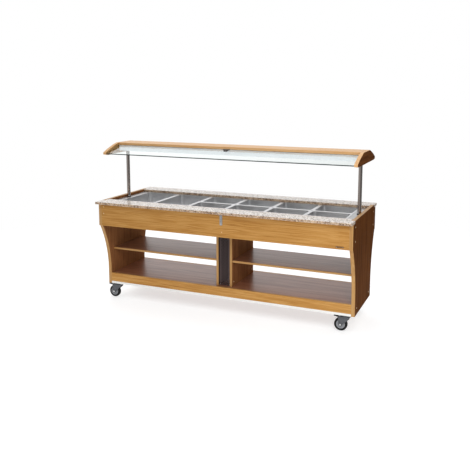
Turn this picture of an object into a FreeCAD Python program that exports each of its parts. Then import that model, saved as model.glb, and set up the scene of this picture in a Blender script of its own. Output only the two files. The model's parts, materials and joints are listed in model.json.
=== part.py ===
import FreeCAD, Part
import math
import os

# Heated buffet cart: a wooden carcass on swivel castors carries a heated well of food pans
# between strips of polished stone, under a lit glass hood that stands on two posts.
# Millimetres. X runs along the cart, Y towards the back and Z up.
# The origin is on the floor below the middle of the cart.

V = FreeCAD.Vector

# Food pans, and the ledges round them that set the size of the cart
pan_columns = 6
full_columns = 2
pan_width = 325.0
pan_length = 530.0
pan_gap = 1.0
pan_depth = 100.0
pan_sheet = 1.0
pan_rim = 12.5
pan_rim_thickness = 1.2
pan_rim_corner = 14.0
pan_draft = 10.0
pan_corner = 28.0
pan_heel = 12.0
end_ledge = 64.0
side_ledge = 12.0

# Clearances
seat_gap = 0.3
running_gap = 0.05
pan_play = 2.5
panel_play = 0.5
glass_play = 0.3

# Well under the pans
flange_thickness = 2.0
well_sheet = 1.5
well_depth = 160.0
well_corner = 15.0
bar_width = 20.0
bar_height = 14.0
bar_sheet = 1.5
element_radius = 4.25
element_rise = 17.0
element_bend = 14.0
element_return = 80.0
element_leg_x = 30.0
element_end_gap = 70.0
element_tail = 26.0
element_hole_play = 0.3

# Wooden carcass
panel_thickness = 28.0
foot_depth = 544.0
flare_rise_start = 120.0
shoulder_step = 11.0
tongue_depth = 670.0
cap_recess_radius = 6.5
cap_recess_depth = 1.5
upper_cap_spread = 632.0
upper_cap_drop = 51.0
upper_cap_pitch = 106.0
lower_cap_spread = 416.0
lower_cap_rise = 50.0
apron_height = 184.0
apron_thickness = 20.0
apron_ease = 2.0
skirt_height = 73.0
skirt_thickness = 20.0
deck_thickness = 22.0
divider_thickness = 20.0
divider_depth = 456.0
column_width = 138.0
shelf_rise = 216.0
shelf_thickness = 17.0
shelf_depth = 444.0
shelf_ease = 3.0

# Steel channel frame under the base
frame_height = 18.0
frame_bar = 78.0
frame_sheet = 2.0

# Stone worktop
worktop_height = 863.0
strip_width = 163.0
slab_thickness = 20.0
slab_overhang = 49.0
slab_edge = 3.0
slab_joint_x = 48.0
slab_joint_gap = 0.8
bracket_width = 22.0
bracket_drop = 91.0
bracket_reach = 40.0
bracket_sheet = 3.0
bracket_bend = 4.0
bracket_round = 8.0

# Grille and control panel that close the centre column
column_sheet = 2.0
grille_recess = 14.0
hole_half = 8.5
hole_pitch = 25.0
grille_margin = 6.0
knob_drop = 93.5
switch_drop = 163.5
switch_spread = 40.0
gland_rise = 59.0

# Thermostat and its knob
thermostat_width = 46.0
thermostat_height = 34.0
thermostat_length = 30.0
bush_radius = 7.0
bush_length = 6.0
spindle_radius = 3.0
spindle_depth = 14.0
spindle_hole_play = 2.0
knob_radius = 20.0
knob_grip_radius = 15.0
knob_skirt = 5.0
knob_taper = 1.0
knob_bevel = 1.0
knob_length = 22.0
knob_rib_width = 5.0
knob_rib_height = 3.0

# Rocker switches
bezel_width = 26.0
bezel_tall = 34.0
bezel_thickness = 2.0
bezel_border = 4.0
switch_wall = 2.0
switch_depth = 20.0
rocker_gap = 0.4
rocker_proud = 3.0
rocker_tilt = 8.0
rocker_pin_radius = 1.5
rocker_pin_depth = 5.0

# Drain cock below the well
drain_y = 120.0
drain_bore = 8.0
drain_pipe = 10.5
drain_flange = 22.0
drain_flange_thickness = 3.0
cock_drop = 253.5
cock_radius = 17.0
cock_length = 44.0
stem_radius = 4.0
stem_boss = 8.0
outlet_drop = 61.0
outlet_length = 34.0
outlet_bead = 1.0
outlet_bead_length = 3.0
deck_hole_play = 3.0
lever_reach = 38.0
lever_width = 14.0
lever_thickness = 6.0
lever_hub = 10.0
lever_hub_length = 10.0
lever_root_step = 1.0

# Cable gland
gland_bore = 4.5
gland_thread = 10.0
gland_hex = 12.0
gland_nut = 6.0
gland_dome = 12.0
gland_tail = 12.0
gland_lip = 2.0
gland_play = 0.2

# Posts
post_radius = 15.0
post_wall = 2.0
post_inset = 18.0
post_tail = 125.0
post_plate = 4.0
post_plate_depth = 60.0
post_plate_height = 100.0
post_head_length = 40.0
post_head_depth = 90.0
post_hole_play = 0.6

# Hood
serving_height = 390.0
light_box_depth = 200.0
light_box_height = 55.0
light_box_sheet = 1.5
light_box_lip = 15.0
light_box_end_floor = 70.0
diffuser_thickness = 3.0
board_depth = 216.0
board_thickness = 20.0
board_ease = 3.0
hood_end_thickness = 28.0
hood_depth = 610.0
hood_end_drop = 17.0
hood_tip_rise = 6.0
hood_tip_height = 18.0
hood_tip_run = 35.0
hood_tip_round = 5.0
hood_edge_bulge = 5.0
glass_thickness = 8.0
glass_tip_inset = 5.0
glass_tip_rise = 7.0
glass_top_gap = 5.0
groove_depth = 8.0
glass_end_play = 0.5
clip_x = -30.0
clip_radius = 29.0
clip_sheet = 5.0
clip_bolt = 4.0
clip_start = 4.0
lamp_radius = 13.0
lamp_length = 895.0
lamp_rise = 27.0
lamp_spread = 50.0
lamp_end_gap = 103.0
holder_length = 22.0
holder_half_width = 16.0

# Castors
wheel_diameter = 100.0
tyre_width = 28.0
tyre_depth = 17.0
tyre_round = 6.0
tyre_seat_width = 25.0
tyre_bead = 2.0
hub_boss_radius = 12.0
hub_web = 13.0
hub_rim = 4.0
hub_web_slope = 2.0
axle_radius = 5.0
axle_head = 9.0
axle_head_length = 4.0
fork_side_gap = 3.0
fork_sheet = 3.0
fork_top_gap = 9.0
fork_front = 31.0
fork_back = 53.0
fork_crown_back = 28.0
fork_eye = 14.0
fork_shoulder = 13.0
castor_trail = 36.0
race_height = 12.2
race_radius = 27.0
race_taper = 5.0
king_pin_radius = 6.0
king_pin_head = 10.0
king_pin_head_length = 5.0
castor_plate_length = 100.0
castor_plate_depth = 66.0
castor_plate_thickness = 3.5
castor_plate_corner = 8.0
castor_end_inset = 46.0
castor_edge_inset = 3.0
pedal_pivot_back = 42.0
pedal_pivot_drop = 2.8
pedal_pin_radius = 2.5
pedal_knuckle_wall = 1.0
pedal_reach = 46.0
pedal_sheet = 3.0
pedal_pad_half_width = 21.0
pedal_pad_length = 27.0
pedal_lift = 9.0
shoe_gap = 3.6
shoe_near = 9.0
shoe_far = 19.0

# Places worked out from the sizes above
pan_pitch = pan_width + pan_gap
pans_length = pan_columns * pan_pitch
inner_half = pans_length / 2 + end_ledge
outer_half = inner_half + panel_thickness
strip_inner = pan_length / 2 + side_ledge
worktop_half = strip_inner + strip_width
apron_face = worktop_half - slab_overhang
apron_back = apron_face - apron_thickness
slab_bottom = worktop_height - slab_thickness
apron_top = slab_bottom - flange_thickness
apron_bottom = apron_top - apron_height
well_floor = slab_bottom - well_depth
well_underside = well_floor - well_sheet
well_half_x = pans_length / 2 - pan_rim + pan_play
well_half_y = pan_length / 2 - pan_rim + pan_play

wheel_radius = wheel_diameter / 2
crown_bottom = wheel_diameter + fork_top_gap
crown_top = crown_bottom + fork_sheet
race_bottom = crown_top + seat_gap
castor_plate_bottom = race_bottom + race_height
base_height = castor_plate_bottom + castor_plate_thickness
castor_x = inner_half - castor_end_inset
castor_y = foot_depth / 2 - castor_edge_inset - castor_plate_depth / 2

skirt_bottom = base_height + frame_height
deck_height = skirt_bottom + skirt_height
shelf_height = deck_height + shelf_rise
column_half = column_width / 2
column_inner = column_half - divider_thickness
column_face = divider_depth / 2 - grille_recess
column_plate_inside = column_face - column_sheet
knob_height = well_underside - knob_drop
switch_height = well_underside - switch_drop
cock_height = well_underside - cock_drop
gland_height = deck_height + gland_rise
outlet_bottom = deck_height - outlet_drop

light_box_bottom = worktop_height + serving_height
board_bottom = light_box_bottom + light_box_height
hood_top = board_bottom + board_thickness
hood_end_bottom = light_box_bottom - hood_end_drop
hood_tip_bottom = hood_end_bottom + hood_tip_rise
post_x = inner_half - post_inset
glass_low_y = -(hood_depth / 2 - glass_tip_inset)
glass_low_z = hood_tip_bottom + glass_tip_rise
glass_high_y = -(light_box_depth / 2 + glass_top_gap)
glass_high_z = board_bottom - glass_thickness / 2 - glass_play
glass_angle = math.atan2(glass_high_z - glass_low_z, glass_high_y - glass_low_y)
glass_slope = math.hypot(glass_high_z - glass_low_z, glass_high_y - glass_low_y)


def box(low, high):
    size = V(*high) - V(*low)
    return Part.makeBox(size.x, size.y, size.z, V(*low))


def block(first, second):
    # Box between two opposite corners, given in any order
    low = [min(pair) for pair in zip(first, second)]
    high = [max(pair) for pair in zip(first, second)]
    return box(low, high)


def cylinder(radius, start, end):
    along = V(*end) - V(*start)
    return Part.makeCylinder(radius, along.Length, V(*start), along)


def line(start, end):
    return Part.LineSegment(V(*start), V(*end)).toShape()


def arc(start, middle, end):
    return Part.Arc(V(*start), V(*middle), V(*end)).toShape()


def polygon(points):
    corners = [V(*point) for point in points]
    return Part.makePolygon(corners + corners[:1])


def prism(wire, along):
    return Part.Face(wire).extrude(V(*along))


def plate_with_holes(outline, holes, along):
    face = Part.makeFace(Part.makeCompound([outline] + holes), "Part::FaceMakerBullseye")
    return face.extrude(V(*along))


def rounded_rectangle(middle, half_x, half_y, radius):
    edges = []
    last = None
    first = None
    for side_x, side_y, start in ((1, 1, 0), (-1, 1, 90), (-1, -1, 180), (1, -1, 270)):
        centre = V(*middle) + V(side_x * (half_x - radius), side_y * (half_y - radius), 0)
        turns = [math.radians(start + turn) for turn in (0, 45, 90)]
        points = [centre + V(radius * math.cos(turn), radius * math.sin(turn), 0) for turn in turns]
        if last is None:
            first = points[0]
        else:
            edges.append(line(last, points[0]))
        edges.append(arc(*points))
        last = points[2]
    edges.append(line(last, first))
    return Part.Wire(edges)


def eased(shape, radius, keep):
    edges = [edge for edge in shape.Edges if keep(edge.BoundBox)]
    return shape.makeFillet(radius, edges)


def mirrored_x(shape):
    return shape.mirror(V(0, 0, 0), V(1, 0, 0))


def mirrored_y(shape):
    return shape.mirror(V(0, 0, 0), V(0, 1, 0))


def cap_places():
    # Two rows of fixings beside the well and one into the base
    upper = worktop_height - upper_cap_drop
    rows = [(upper_cap_spread, upper), (upper_cap_spread, upper - upper_cap_pitch)]
    rows.append((lower_cap_spread, base_height + lower_cap_rise))
    return [(side * spread / 2, z) for spread, z in rows for side in (-1, 1)]


def make_side_panel():
    # Straight foot, an arc that sweeps out to the apron, a small step, and a tongue
    # that comes up level with the stone between the ends of the two strips
    foot = foot_depth / 2
    flare_start = base_height + flare_rise_start
    flare_out = apron_face - shoulder_step - foot
    flare_rise = apron_bottom - flare_start
    radius = (flare_out ** 2 + flare_rise ** 2) / (2 * flare_out)
    half_turn = math.atan2(flare_rise, radius - flare_out) / 2
    middle_out = radius - radius * math.cos(half_turn)
    middle_rise = radius * math.sin(half_turn)

    def edge_of(side):
        low = (outer_half, side * foot, base_height)
        start = (outer_half, side * foot, flare_start)
        middle = (outer_half, side * (foot + middle_out), flare_start + middle_rise)
        end = (outer_half, side * (foot + flare_out), apron_bottom)
        lip = (outer_half, side * apron_face, apron_bottom)
        shoulder = (outer_half, side * apron_face, slab_bottom)
        neck = (outer_half, side * tongue_depth / 2, slab_bottom)
        top = (outer_half, side * tongue_depth / 2, worktop_height)
        edges = [line(low, start), arc(start, middle, end), line(end, lip), line(lip, shoulder)]
        return edges + [line(shoulder, neck), line(neck, top)], low, top

    front, front_low, front_top = edge_of(-1)
    back, back_low, back_top = edge_of(1)
    joining = [line(front_low, back_low), line(front_top, back_top)]
    outline = Part.Wire(Part.__sortEdges__(front + back + joining))
    panel = prism(outline, (-panel_thickness, 0, 0))
    recess_floor = outer_half - cap_recess_depth
    recesses = []
    for y, z in cap_places():
        recesses.append(cylinder(cap_recess_radius, (recess_floor, y, z), (outer_half, y, z)))
    return panel.cut(recesses)


def make_apron():
    board = box((-inner_half, -apron_face, apron_bottom), (inner_half, -apron_back, apron_top))

    def lower_edge(bounds):
        return bounds.ZMax < apron_bottom + apron_ease and bounds.XLength > inner_half

    return eased(board, apron_ease, lower_edge)


def make_deck():
    half_depth = foot_depth / 2 - skirt_thickness
    low = deck_height - deck_thickness
    board = box((-inner_half, -half_depth, low), (inner_half, half_depth, deck_height))
    hole = cylinder(drain_pipe + deck_hole_play, (0, drain_y, low), (0, drain_y, deck_height))
    return board.cut(hole)


def make_skirt():
    foot = foot_depth / 2
    return box((-inner_half, -foot, skirt_bottom), (inner_half, skirt_thickness - foot, deck_height))


def make_base_frame():
    # One ring of folded channel, open at the top
    def ring(inset, low):
        half_x = inner_half - inset
        half_y = foot_depth / 2 - inset
        inner_x = inner_half - frame_bar + inset
        inner_y = foot_depth / 2 - frame_bar + inset
        outer = box((-half_x, -half_y, low), (half_x, half_y, skirt_bottom))
        window = box((-inner_x, -inner_y, low), (inner_x, inner_y, skirt_bottom))
        return outer.cut(window)

    return ring(0, base_height).cut(ring(frame_sheet, base_height + frame_sheet))


def make_divider():
    low = (column_inner, -divider_depth / 2, deck_height)
    return box(low, (column_half, divider_depth / 2, well_underside))


def make_shelf():
    low = (column_half, -shelf_depth / 2, shelf_height - shelf_thickness)
    board = box(low, (inner_half, shelf_depth / 2, shelf_height))

    def long_edge(bounds):
        return bounds.XLength > (inner_half - column_half) / 2

    return eased(board, shelf_ease, long_edge)


def diamond(x, z, y):
    return polygon([(x + hole_half, y, z), (x, y, z + hole_half),
                    (x - hole_half, y, z), (x, y, z - hole_half)])


def upright_rectangle(left, right, low, high, y):
    return polygon([(left, y, low), (right, y, low), (right, y, high), (left, y, high)])


def column_outline(y):
    return upright_rectangle(-column_inner, column_inner, deck_height, well_underside, y)


def make_grille():
    # Staggered rows of diamonds, as many as the sheet holds
    space_x = column_inner - grille_margin - hole_half
    space_z = (well_underside - deck_height) / 2 - grille_margin - hole_half
    across = int(space_x * 2 / hole_pitch)
    up = int(space_z * 2 / hole_pitch)
    middle_z = (well_underside + deck_height) / 2
    holes = []
    for row in range(2 * up + 1):
        shift = row % 2
        for column in range(across + 1 - shift):
            x = (column + shift / 2 - across / 2) * hole_pitch
            z = middle_z + (row - up) * hole_pitch / 2
            holes.append(diamond(x, z, -column_face))
    return plate_with_holes(column_outline(-column_face), holes, (0, column_sheet, 0))


def circle(radius, x, z, y):
    return Part.Wire(Part.makeCircle(radius, V(x, y, z), V(0, 1, 0)))


def switch_body_half():
    return bezel_width / 2 - bezel_border / 2, bezel_tall / 2 - bezel_border / 2


def make_control_panel():
    half_x, half_z = switch_body_half()
    y = column_plate_inside
    low = switch_height - half_z
    high = switch_height + half_z
    holes = [circle(spindle_radius + spindle_hole_play, 0, knob_height, y)]
    for side in (-1, 1):
        x = side * switch_spread / 2
        holes.append(upright_rectangle(x - half_x, x + half_x, low, high, y))
    holes.append(circle(stem_boss, 0, cock_height, y))
    holes.append(circle(gland_thread + gland_play, 0, gland_height, y))
    return plate_with_holes(column_outline(y), holes, (0, column_sheet, 0))


def make_front_slabs():
    # Two lengths of stone that meet at a joint, notched round the tongues of the side panels
    tongue = tongue_depth / 2 + panel_play
    notch = inner_half - panel_play
    outer = -worktop_half
    inner = -strip_inner

    def slab(end_x, joint_x):
        neck_x = math.copysign(notch, end_x)
        outline = polygon([(end_x, outer, slab_bottom), (joint_x, outer, slab_bottom),
                           (joint_x, inner, slab_bottom), (neck_x, inner, slab_bottom),
                           (neck_x, -tongue, slab_bottom), (end_x, -tongue, slab_bottom)])
        stone = prism(outline, (0, 0, slab_thickness))

        def front_edge(bounds):
            return bounds.YMax < outer + slab_edge and bounds.XLength > slab_edge

        return eased(stone, slab_edge, front_edge)

    left = slab(-outer_half, slab_joint_x - slab_joint_gap / 2)
    right = slab(outer_half, slab_joint_x + slab_joint_gap / 2)
    return Part.makeCompound([left, right])


def make_front_bracket():
    # Folded strap: a leg with a rounded end down the apron, and one under the overhang of the stone
    x = slab_joint_x - bracket_width / 2
    wall = -apron_face
    face = wall - bracket_sheet
    low = slab_bottom - bracket_drop
    under = slab_bottom - bracket_sheet
    tip = wall - bracket_reach
    bend = bracket_bend * math.sqrt(0.5)
    centre_y = face - bracket_bend
    centre_z = under - bracket_bend
    edges = [line((x, wall, low), (x, wall, slab_bottom)),
             line((x, wall, slab_bottom), (x, tip, slab_bottom)),
             line((x, tip, slab_bottom), (x, tip, under)),
             line((x, tip, under), (x, centre_y, under)),
             arc((x, centre_y, under), (x, centre_y + bend, centre_z + bend), (x, face, centre_z)),
             line((x, face, centre_z), (x, face, low)),
             line((x, face, low), (x, wall, low))]
    strap = prism(Part.Wire(edges), (bracket_width, 0, 0))

    def lower_corner(bounds):
        return bounds.ZMax < low + bracket_sheet and bounds.XLength < bracket_sheet

    return eased(strap, bracket_round, lower_corner)


def element_legs():
    return (-element_return / 2, element_return / 2)


def make_well_floor():
    outline = rounded_rectangle((0, 0, well_underside), well_half_x + well_sheet, well_half_y + well_sheet,
                                well_corner + well_sheet)
    holes = [cylinder(drain_bore, (0, drain_y, well_underside), (0, drain_y, well_floor))]
    leg_hole = element_radius + element_hole_play
    for x in (-element_leg_x, element_leg_x):
        for y in element_legs():
            holes.append(cylinder(leg_hole, (x, y, well_underside), (x, y, well_floor)))
    return prism(outline, (0, 0, well_sheet)).cut(holes)


def make_well_corner(side_x, side_y):
    # Round corner of the wall, with the gusset that fills the corner of the flange above it
    x = side_x * (well_half_x - well_corner)
    y = side_y * (well_half_y - well_corner)
    inside = cylinder(well_corner, (x, y, well_floor), (x, y, slab_bottom))
    outside = cylinder(well_corner + well_sheet, (x, y, well_floor), (x, y, apron_top))
    quarter = block((x, y, well_floor),
                    (side_x * (well_half_x + well_sheet), side_y * (well_half_y + well_sheet), apron_top))
    gusset = block((x, y, apron_top), (side_x * well_half_x, side_y * well_half_y, slab_bottom))
    return outside.common(quarter).fuse(gusset).cut(inside).removeSplitter()


def make_well_basin():
    # Welded from sheet: a floor, four walls with round corners, and the wide flange
    # of four strips that lies on the aprons and carries the pans
    flange_x = inner_half - panel_play
    flange_y = apron_face - apron_thickness / 2
    run_x = well_half_x - well_corner
    run_y = well_half_y - well_corner
    sheets = [make_well_floor()]
    for side in (-1, 1):
        near_x = side * well_half_x
        near_y = side * well_half_y
        sheets.append(block((near_x, -run_y, well_floor), (near_x + side * well_sheet, run_y, apron_top)))
        sheets.append(block((-run_x, near_y, well_floor), (run_x, near_y + side * well_sheet, apron_top)))
        sheets.append(block((-flange_x, near_y, apron_top), (flange_x, side * flange_y, slab_bottom)))
        end = block((near_x, -well_half_y, apron_top), (side * flange_x, well_half_y, slab_bottom))
        x = side * post_x
        post_hole = cylinder(post_radius + post_hole_play, (x, 0, apron_top), (x, 0, slab_bottom))
        sheets.append(end.cut(post_hole))
        sheets.append(make_well_corner(side, -1))
        sheets.append(make_well_corner(side, 1))
    return Part.makeCompound(sheets)


def bar_section(low, high, x_first):
    # Folded strip, open below, between two corners of its top face
    top = slab_bottom
    base = top - bar_height
    strip = box((low[0], low[1], base), (high[0], high[1], top))
    inset_x = 0 if x_first else bar_sheet
    inset_y = bar_sheet if x_first else 0
    hollow = box((low[0] + inset_x, low[1] + inset_y, base),
                 (high[0] - inset_x, high[1] - inset_y, top - bar_sheet))
    return strip.cut(hollow)


def column_edge(index):
    return -pans_length / 2 + index * pan_pitch


def make_pan_bars():
    half = bar_width / 2
    bars = []
    for index in range(1, pan_columns):
        x = column_edge(index)
        bars.append(bar_section((x - half, -well_half_y), (x + half, well_half_y), False))
    for index in range(full_columns, pan_columns):
        start = column_edge(index) + half
        end = column_edge(index + 1) - half if index + 1 < pan_columns else well_half_x
        bars.append(bar_section((start, -half), (end, half), True))
    return Part.makeCompound(bars)


def make_pan(middle_x, middle_y, length):
    # Drawn tray: a flat rim, drafted walls with round corners and a sloped heel
    seat = slab_bottom + seat_gap
    rim_top = seat + pan_rim_thickness
    bottom = seat - pan_depth
    half_x = pan_width / 2
    half_y = length / 2

    def section(z, inset, corner):
        inner_x = half_x - pan_rim - inset
        inner_y = half_y - pan_rim - inset
        return rounded_rectangle((middle_x, middle_y, z), inner_x, inner_y, corner)

    def tray(wall):
        corner = pan_corner - wall
        heel_inset = pan_draft - pan_heel / 2
        return Part.makeLoft([section(rim_top, wall, corner),
                              section(bottom + pan_heel, heel_inset + wall, corner),
                              section(bottom + wall, pan_draft + wall, corner)], True, True)

    rim = prism(rounded_rectangle((middle_x, middle_y, seat), half_x, half_y, pan_rim_corner),
                (0, 0, pan_rim_thickness))
    return rim.fuse(tray(0)).cut(tray(pan_sheet)).removeSplitter()


def make_pans():
    pans = {}
    half_length = (pan_length - pan_gap) / 2
    for index in range(pan_columns):
        x = column_edge(index) + pan_pitch / 2
        number = index + 1
        if index < full_columns:
            pans["full_pan_%d" % number] = make_pan(x, 0, pan_length)
        else:
            shift = (half_length + pan_gap) / 2
            pans["half_pan_%d_front" % number] = make_pan(x, -shift, half_length)
            pans["half_pan_%d_back" % number] = make_pan(x, shift, half_length)
    return pans


def make_heating_element():
    # Hairpin of sheathed tube, whose two legs leave through the floor of the well
    start_y, end_y = element_legs()
    low = well_underside - element_tail
    run_z = well_floor + element_rise
    bend_z = run_z - element_bend
    near = element_leg_x + element_bend
    turn_radius = element_return / 2
    far = well_half_x - element_end_gap - turn_radius

    def disc(x, y, z, facing):
        return Part.Face(Part.Wire(Part.makeCircle(element_radius, V(x, y, z), V(*facing))))

    def leg(y):
        rise = cylinder(element_radius, (element_leg_x, y, low), (element_leg_x, y, bend_z))
        bend = disc(element_leg_x, y, bend_z, (0, 0, 1)).revolve(V(near, y, bend_z), V(0, 1, 0), 90)
        run = cylinder(element_radius, (near, y, run_z), (far, y, run_z))
        return [rise, bend, run]

    turn = disc(far, start_y, run_z, (1, 0, 0)).revolve(V(far, 0, run_z), V(0, 0, 1), 180)
    return turn.fuse(leg(start_y) + leg(end_y)).removeSplitter()


def make_thermostat():
    half_x = thermostat_width / 2
    half_z = thermostat_height / 2
    front = column_plate_inside - bush_length
    body = box((-half_x, front - thermostat_length, knob_height - half_z),
               (half_x, front, knob_height + half_z))
    mouth = (0, column_plate_inside, knob_height)
    bush = cylinder(bush_radius, (0, front, knob_height), mouth)
    bore_end = column_plate_inside - spindle_depth - seat_gap
    bore = cylinder(spindle_radius + running_gap, (0, bore_end, knob_height), mouth)
    return body.fuse(bush).cut(bore).removeSplitter()


def make_knob():
    # Turned knob with a flared skirt, a grip bar across its face and the spindle behind
    back = column_face + panel_play
    face = back + knob_length
    shoulder_radius = knob_grip_radius - knob_taper
    face_radius = shoulder_radius - knob_bevel
    outline = [(0, back), (knob_radius, back), (knob_radius, back + knob_skirt / 2),
               (knob_grip_radius, back + knob_skirt), (shoulder_radius, face - knob_bevel),
               (face_radius, face), (0, face)]
    wire = polygon([(radius, y, knob_height) for radius, y in outline])
    body = Part.Face(wire).revolve(V(0, 0, knob_height), V(0, 1, 0), 360)
    half = knob_rib_width / 2
    rib = box((-half, face, knob_height - face_radius),
              (half, face + knob_rib_height, knob_height + face_radius))
    rib = rib.common(cylinder(face_radius, (0, face, knob_height), (0, face + knob_rib_height, knob_height)))
    spindle_end = column_plate_inside - spindle_depth
    spindle = cylinder(spindle_radius, (0, spindle_end, knob_height), (0, back, knob_height))
    return body.fuse([rib, spindle]).removeSplitter()


def rocker_axis_y():
    return column_face - rocker_pin_depth


def rocker_half():
    half_x, half_z = switch_body_half()
    return half_x - switch_wall - rocker_gap, half_z - switch_wall - rocker_gap


def make_switch_housing(x):
    # Bezel outside the sheet, open box through it, and two bearing holes for the rocker
    half_x, half_z = switch_body_half()
    back = column_face - switch_depth
    front = column_face + bezel_thickness
    bezel = box((x - bezel_width / 2, column_face, switch_height - bezel_tall / 2),
                (x + bezel_width / 2, front, switch_height + bezel_tall / 2))
    fit = seat_gap / 2
    body = box((x - half_x + fit, back, switch_height - half_z + fit),
               (x + half_x - fit, column_face, switch_height + half_z - fit))
    pocket_x = half_x - switch_wall
    pocket_z = half_z - switch_wall
    pocket = box((x - pocket_x, back + switch_wall, switch_height - pocket_z),
                 (x + pocket_x, front, switch_height + pocket_z))
    holes = cylinder(rocker_pin_radius + running_gap, (x - half_x, rocker_axis_y(), switch_height),
                     (x + half_x, rocker_axis_y(), switch_height))
    return bezel.fuse(body).cut(pocket).cut(holes).removeSplitter()


def make_rocker(x):
    # Shallow V face over a round back, on a cross pin, tipped to its off side
    half_x, half_z = rocker_half()
    axis_y = rocker_axis_y()
    proud = column_face + bezel_thickness + rocker_proud
    dip = rocker_proud * 2
    slim = half_z * math.cos(math.radians(rocker_tilt)) - rocker_proud / 2
    base = axis_y - rocker_pin_radius * 2
    middle = switch_height
    outline = [(base, middle - slim / 2), (proud - dip, middle - slim), (proud, middle - slim),
               (proud - dip / 2, middle), (proud, middle + slim), (proud - dip, middle + slim),
               (base, middle + slim / 2)]
    body = prism(polygon([(x - half_x, y, z) for y, z in outline]), (2 * half_x, 0, 0))
    pin_half = half_x + rocker_gap + switch_wall / 2
    pin = cylinder(rocker_pin_radius, (x - pin_half, axis_y, middle), (x + pin_half, axis_y, middle))
    rocker = body.fuse(pin).removeSplitter()
    rocker.rotate(V(x, axis_y, middle), V(1, 0, 0), rocker_tilt)
    return rocker


def make_drain_cock():
    # Pipe turned about its own axis: flange under the well, valve body, hose spigot below the deck
    top = well_underside
    low = cock_height - cock_length / 2
    high = cock_height + cock_length / 2
    under = top - drain_flange_thickness
    bead = drain_pipe + outlet_bead
    neck = outlet_bottom + outlet_length
    bead_top = neck + outlet_bead_length
    outline = [(drain_bore, top), (drain_flange, top), (drain_flange, under), (drain_pipe, under),
               (drain_pipe, high), (cock_radius, high - drain_pipe / 2),
               (cock_radius, low + drain_pipe / 2), (drain_pipe, low), (drain_pipe, bead_top),
               (bead, bead_top), (bead, neck), (drain_pipe, neck), (drain_pipe, outlet_bottom),
               (drain_bore, outlet_bottom)]
    wire = polygon([(radius, drain_y, z) for radius, z in outline])
    body = Part.Face(wire).revolve(V(0, drain_y, 0), V(0, 0, 1), 360)
    ball = cylinder(drain_bore, (0, drain_y, low), (0, drain_y, high))
    boss = cylinder(stem_boss - panel_play, (0, drain_y, cock_height), (0, column_face, cock_height))
    stem_end = drain_y + cock_radius
    stem_hole = cylinder(stem_radius + running_gap, (0, stem_end, cock_height), (0, column_face, cock_height))
    return body.fuse([ball, boss]).cut(stem_hole).removeSplitter()


def make_drain_lever():
    # Hub on the stem and a tapered wing, drawn across the pipe as it stands when shut
    start = column_face + panel_play
    end = start + lever_hub_length
    hub = cylinder(lever_hub, (0, start, cock_height), (0, end, cock_height))
    wing_y = end - lever_thickness
    tip = lever_width / 2
    root = lever_hub - lever_root_step
    edges = [line((0, wing_y, cock_height - root), (lever_reach - tip, wing_y, cock_height - tip)),
             arc((lever_reach - tip, wing_y, cock_height - tip), (lever_reach, wing_y, cock_height),
                 (lever_reach - tip, wing_y, cock_height + tip)),
             line((lever_reach - tip, wing_y, cock_height + tip), (0, wing_y, cock_height + root)),
             line((0, wing_y, cock_height + root), (0, wing_y, cock_height - root))]
    wing = prism(Part.Wire(edges), (0, lever_thickness, 0))
    stem_start = drain_y + cock_radius + seat_gap
    stem = cylinder(stem_radius, (0, stem_start, cock_height), (0, start, cock_height))
    return hub.fuse([wing, stem]).removeSplitter()


def make_cable_gland():
    # Hexagon, domed nut and threaded tail round one through bore
    nut_end = column_face + gland_nut
    dome_end = nut_end + gland_dome
    tail_end = column_face - gland_tail
    turns = [math.radians(60 * step) for step in range(6)]
    corner = gland_hex / math.cos(math.radians(30))
    hexagon = polygon([(corner * math.cos(turn), column_face, gland_height + corner * math.sin(turn))
                       for turn in turns])
    nut = prism(hexagon, (0, gland_nut, 0))
    lip = gland_bore + gland_lip
    dome = Part.makeCone(gland_hex, lip, gland_dome, V(0, nut_end, gland_height), V(0, 1, 0))
    tail = cylinder(gland_thread, (0, tail_end, gland_height), (0, column_face, gland_height))
    bore = cylinder(gland_bore, (0, tail_end, gland_height), (0, dome_end, gland_height))
    return nut.fuse([dome, tail]).cut(bore).removeSplitter()


def make_post():
    # Tube through the flange, with a plate for the side panel and one for the light box
    foot = slab_bottom - post_tail
    head = light_box_bottom - post_plate
    tube = cylinder(post_radius, (post_x, 0, foot), (post_x, 0, head))
    plate_x = inner_half - post_plate
    plate = box((plate_x, -post_plate_depth / 2, foot),
                (inner_half, post_plate_depth / 2, foot + post_plate_height))
    cap = box((inner_half - post_head_length, -post_head_depth / 2, head),
              (inner_half, post_head_depth / 2, light_box_bottom))
    bore = cylinder(post_radius - post_wall, (post_x, 0, foot), (post_x, 0, head))
    return tube.fuse([plate, cap]).cut(bore).removeSplitter()


def on_glass(shape):
    # From slope axes (along, up the glass, off its face) to the front pane's place
    placed = shape.copy()
    placed.rotate(V(0, 0, 0), V(1, 0, 0), math.degrees(glass_angle))
    placed.translate(V(0, glass_low_y, glass_low_z))
    return placed


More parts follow.
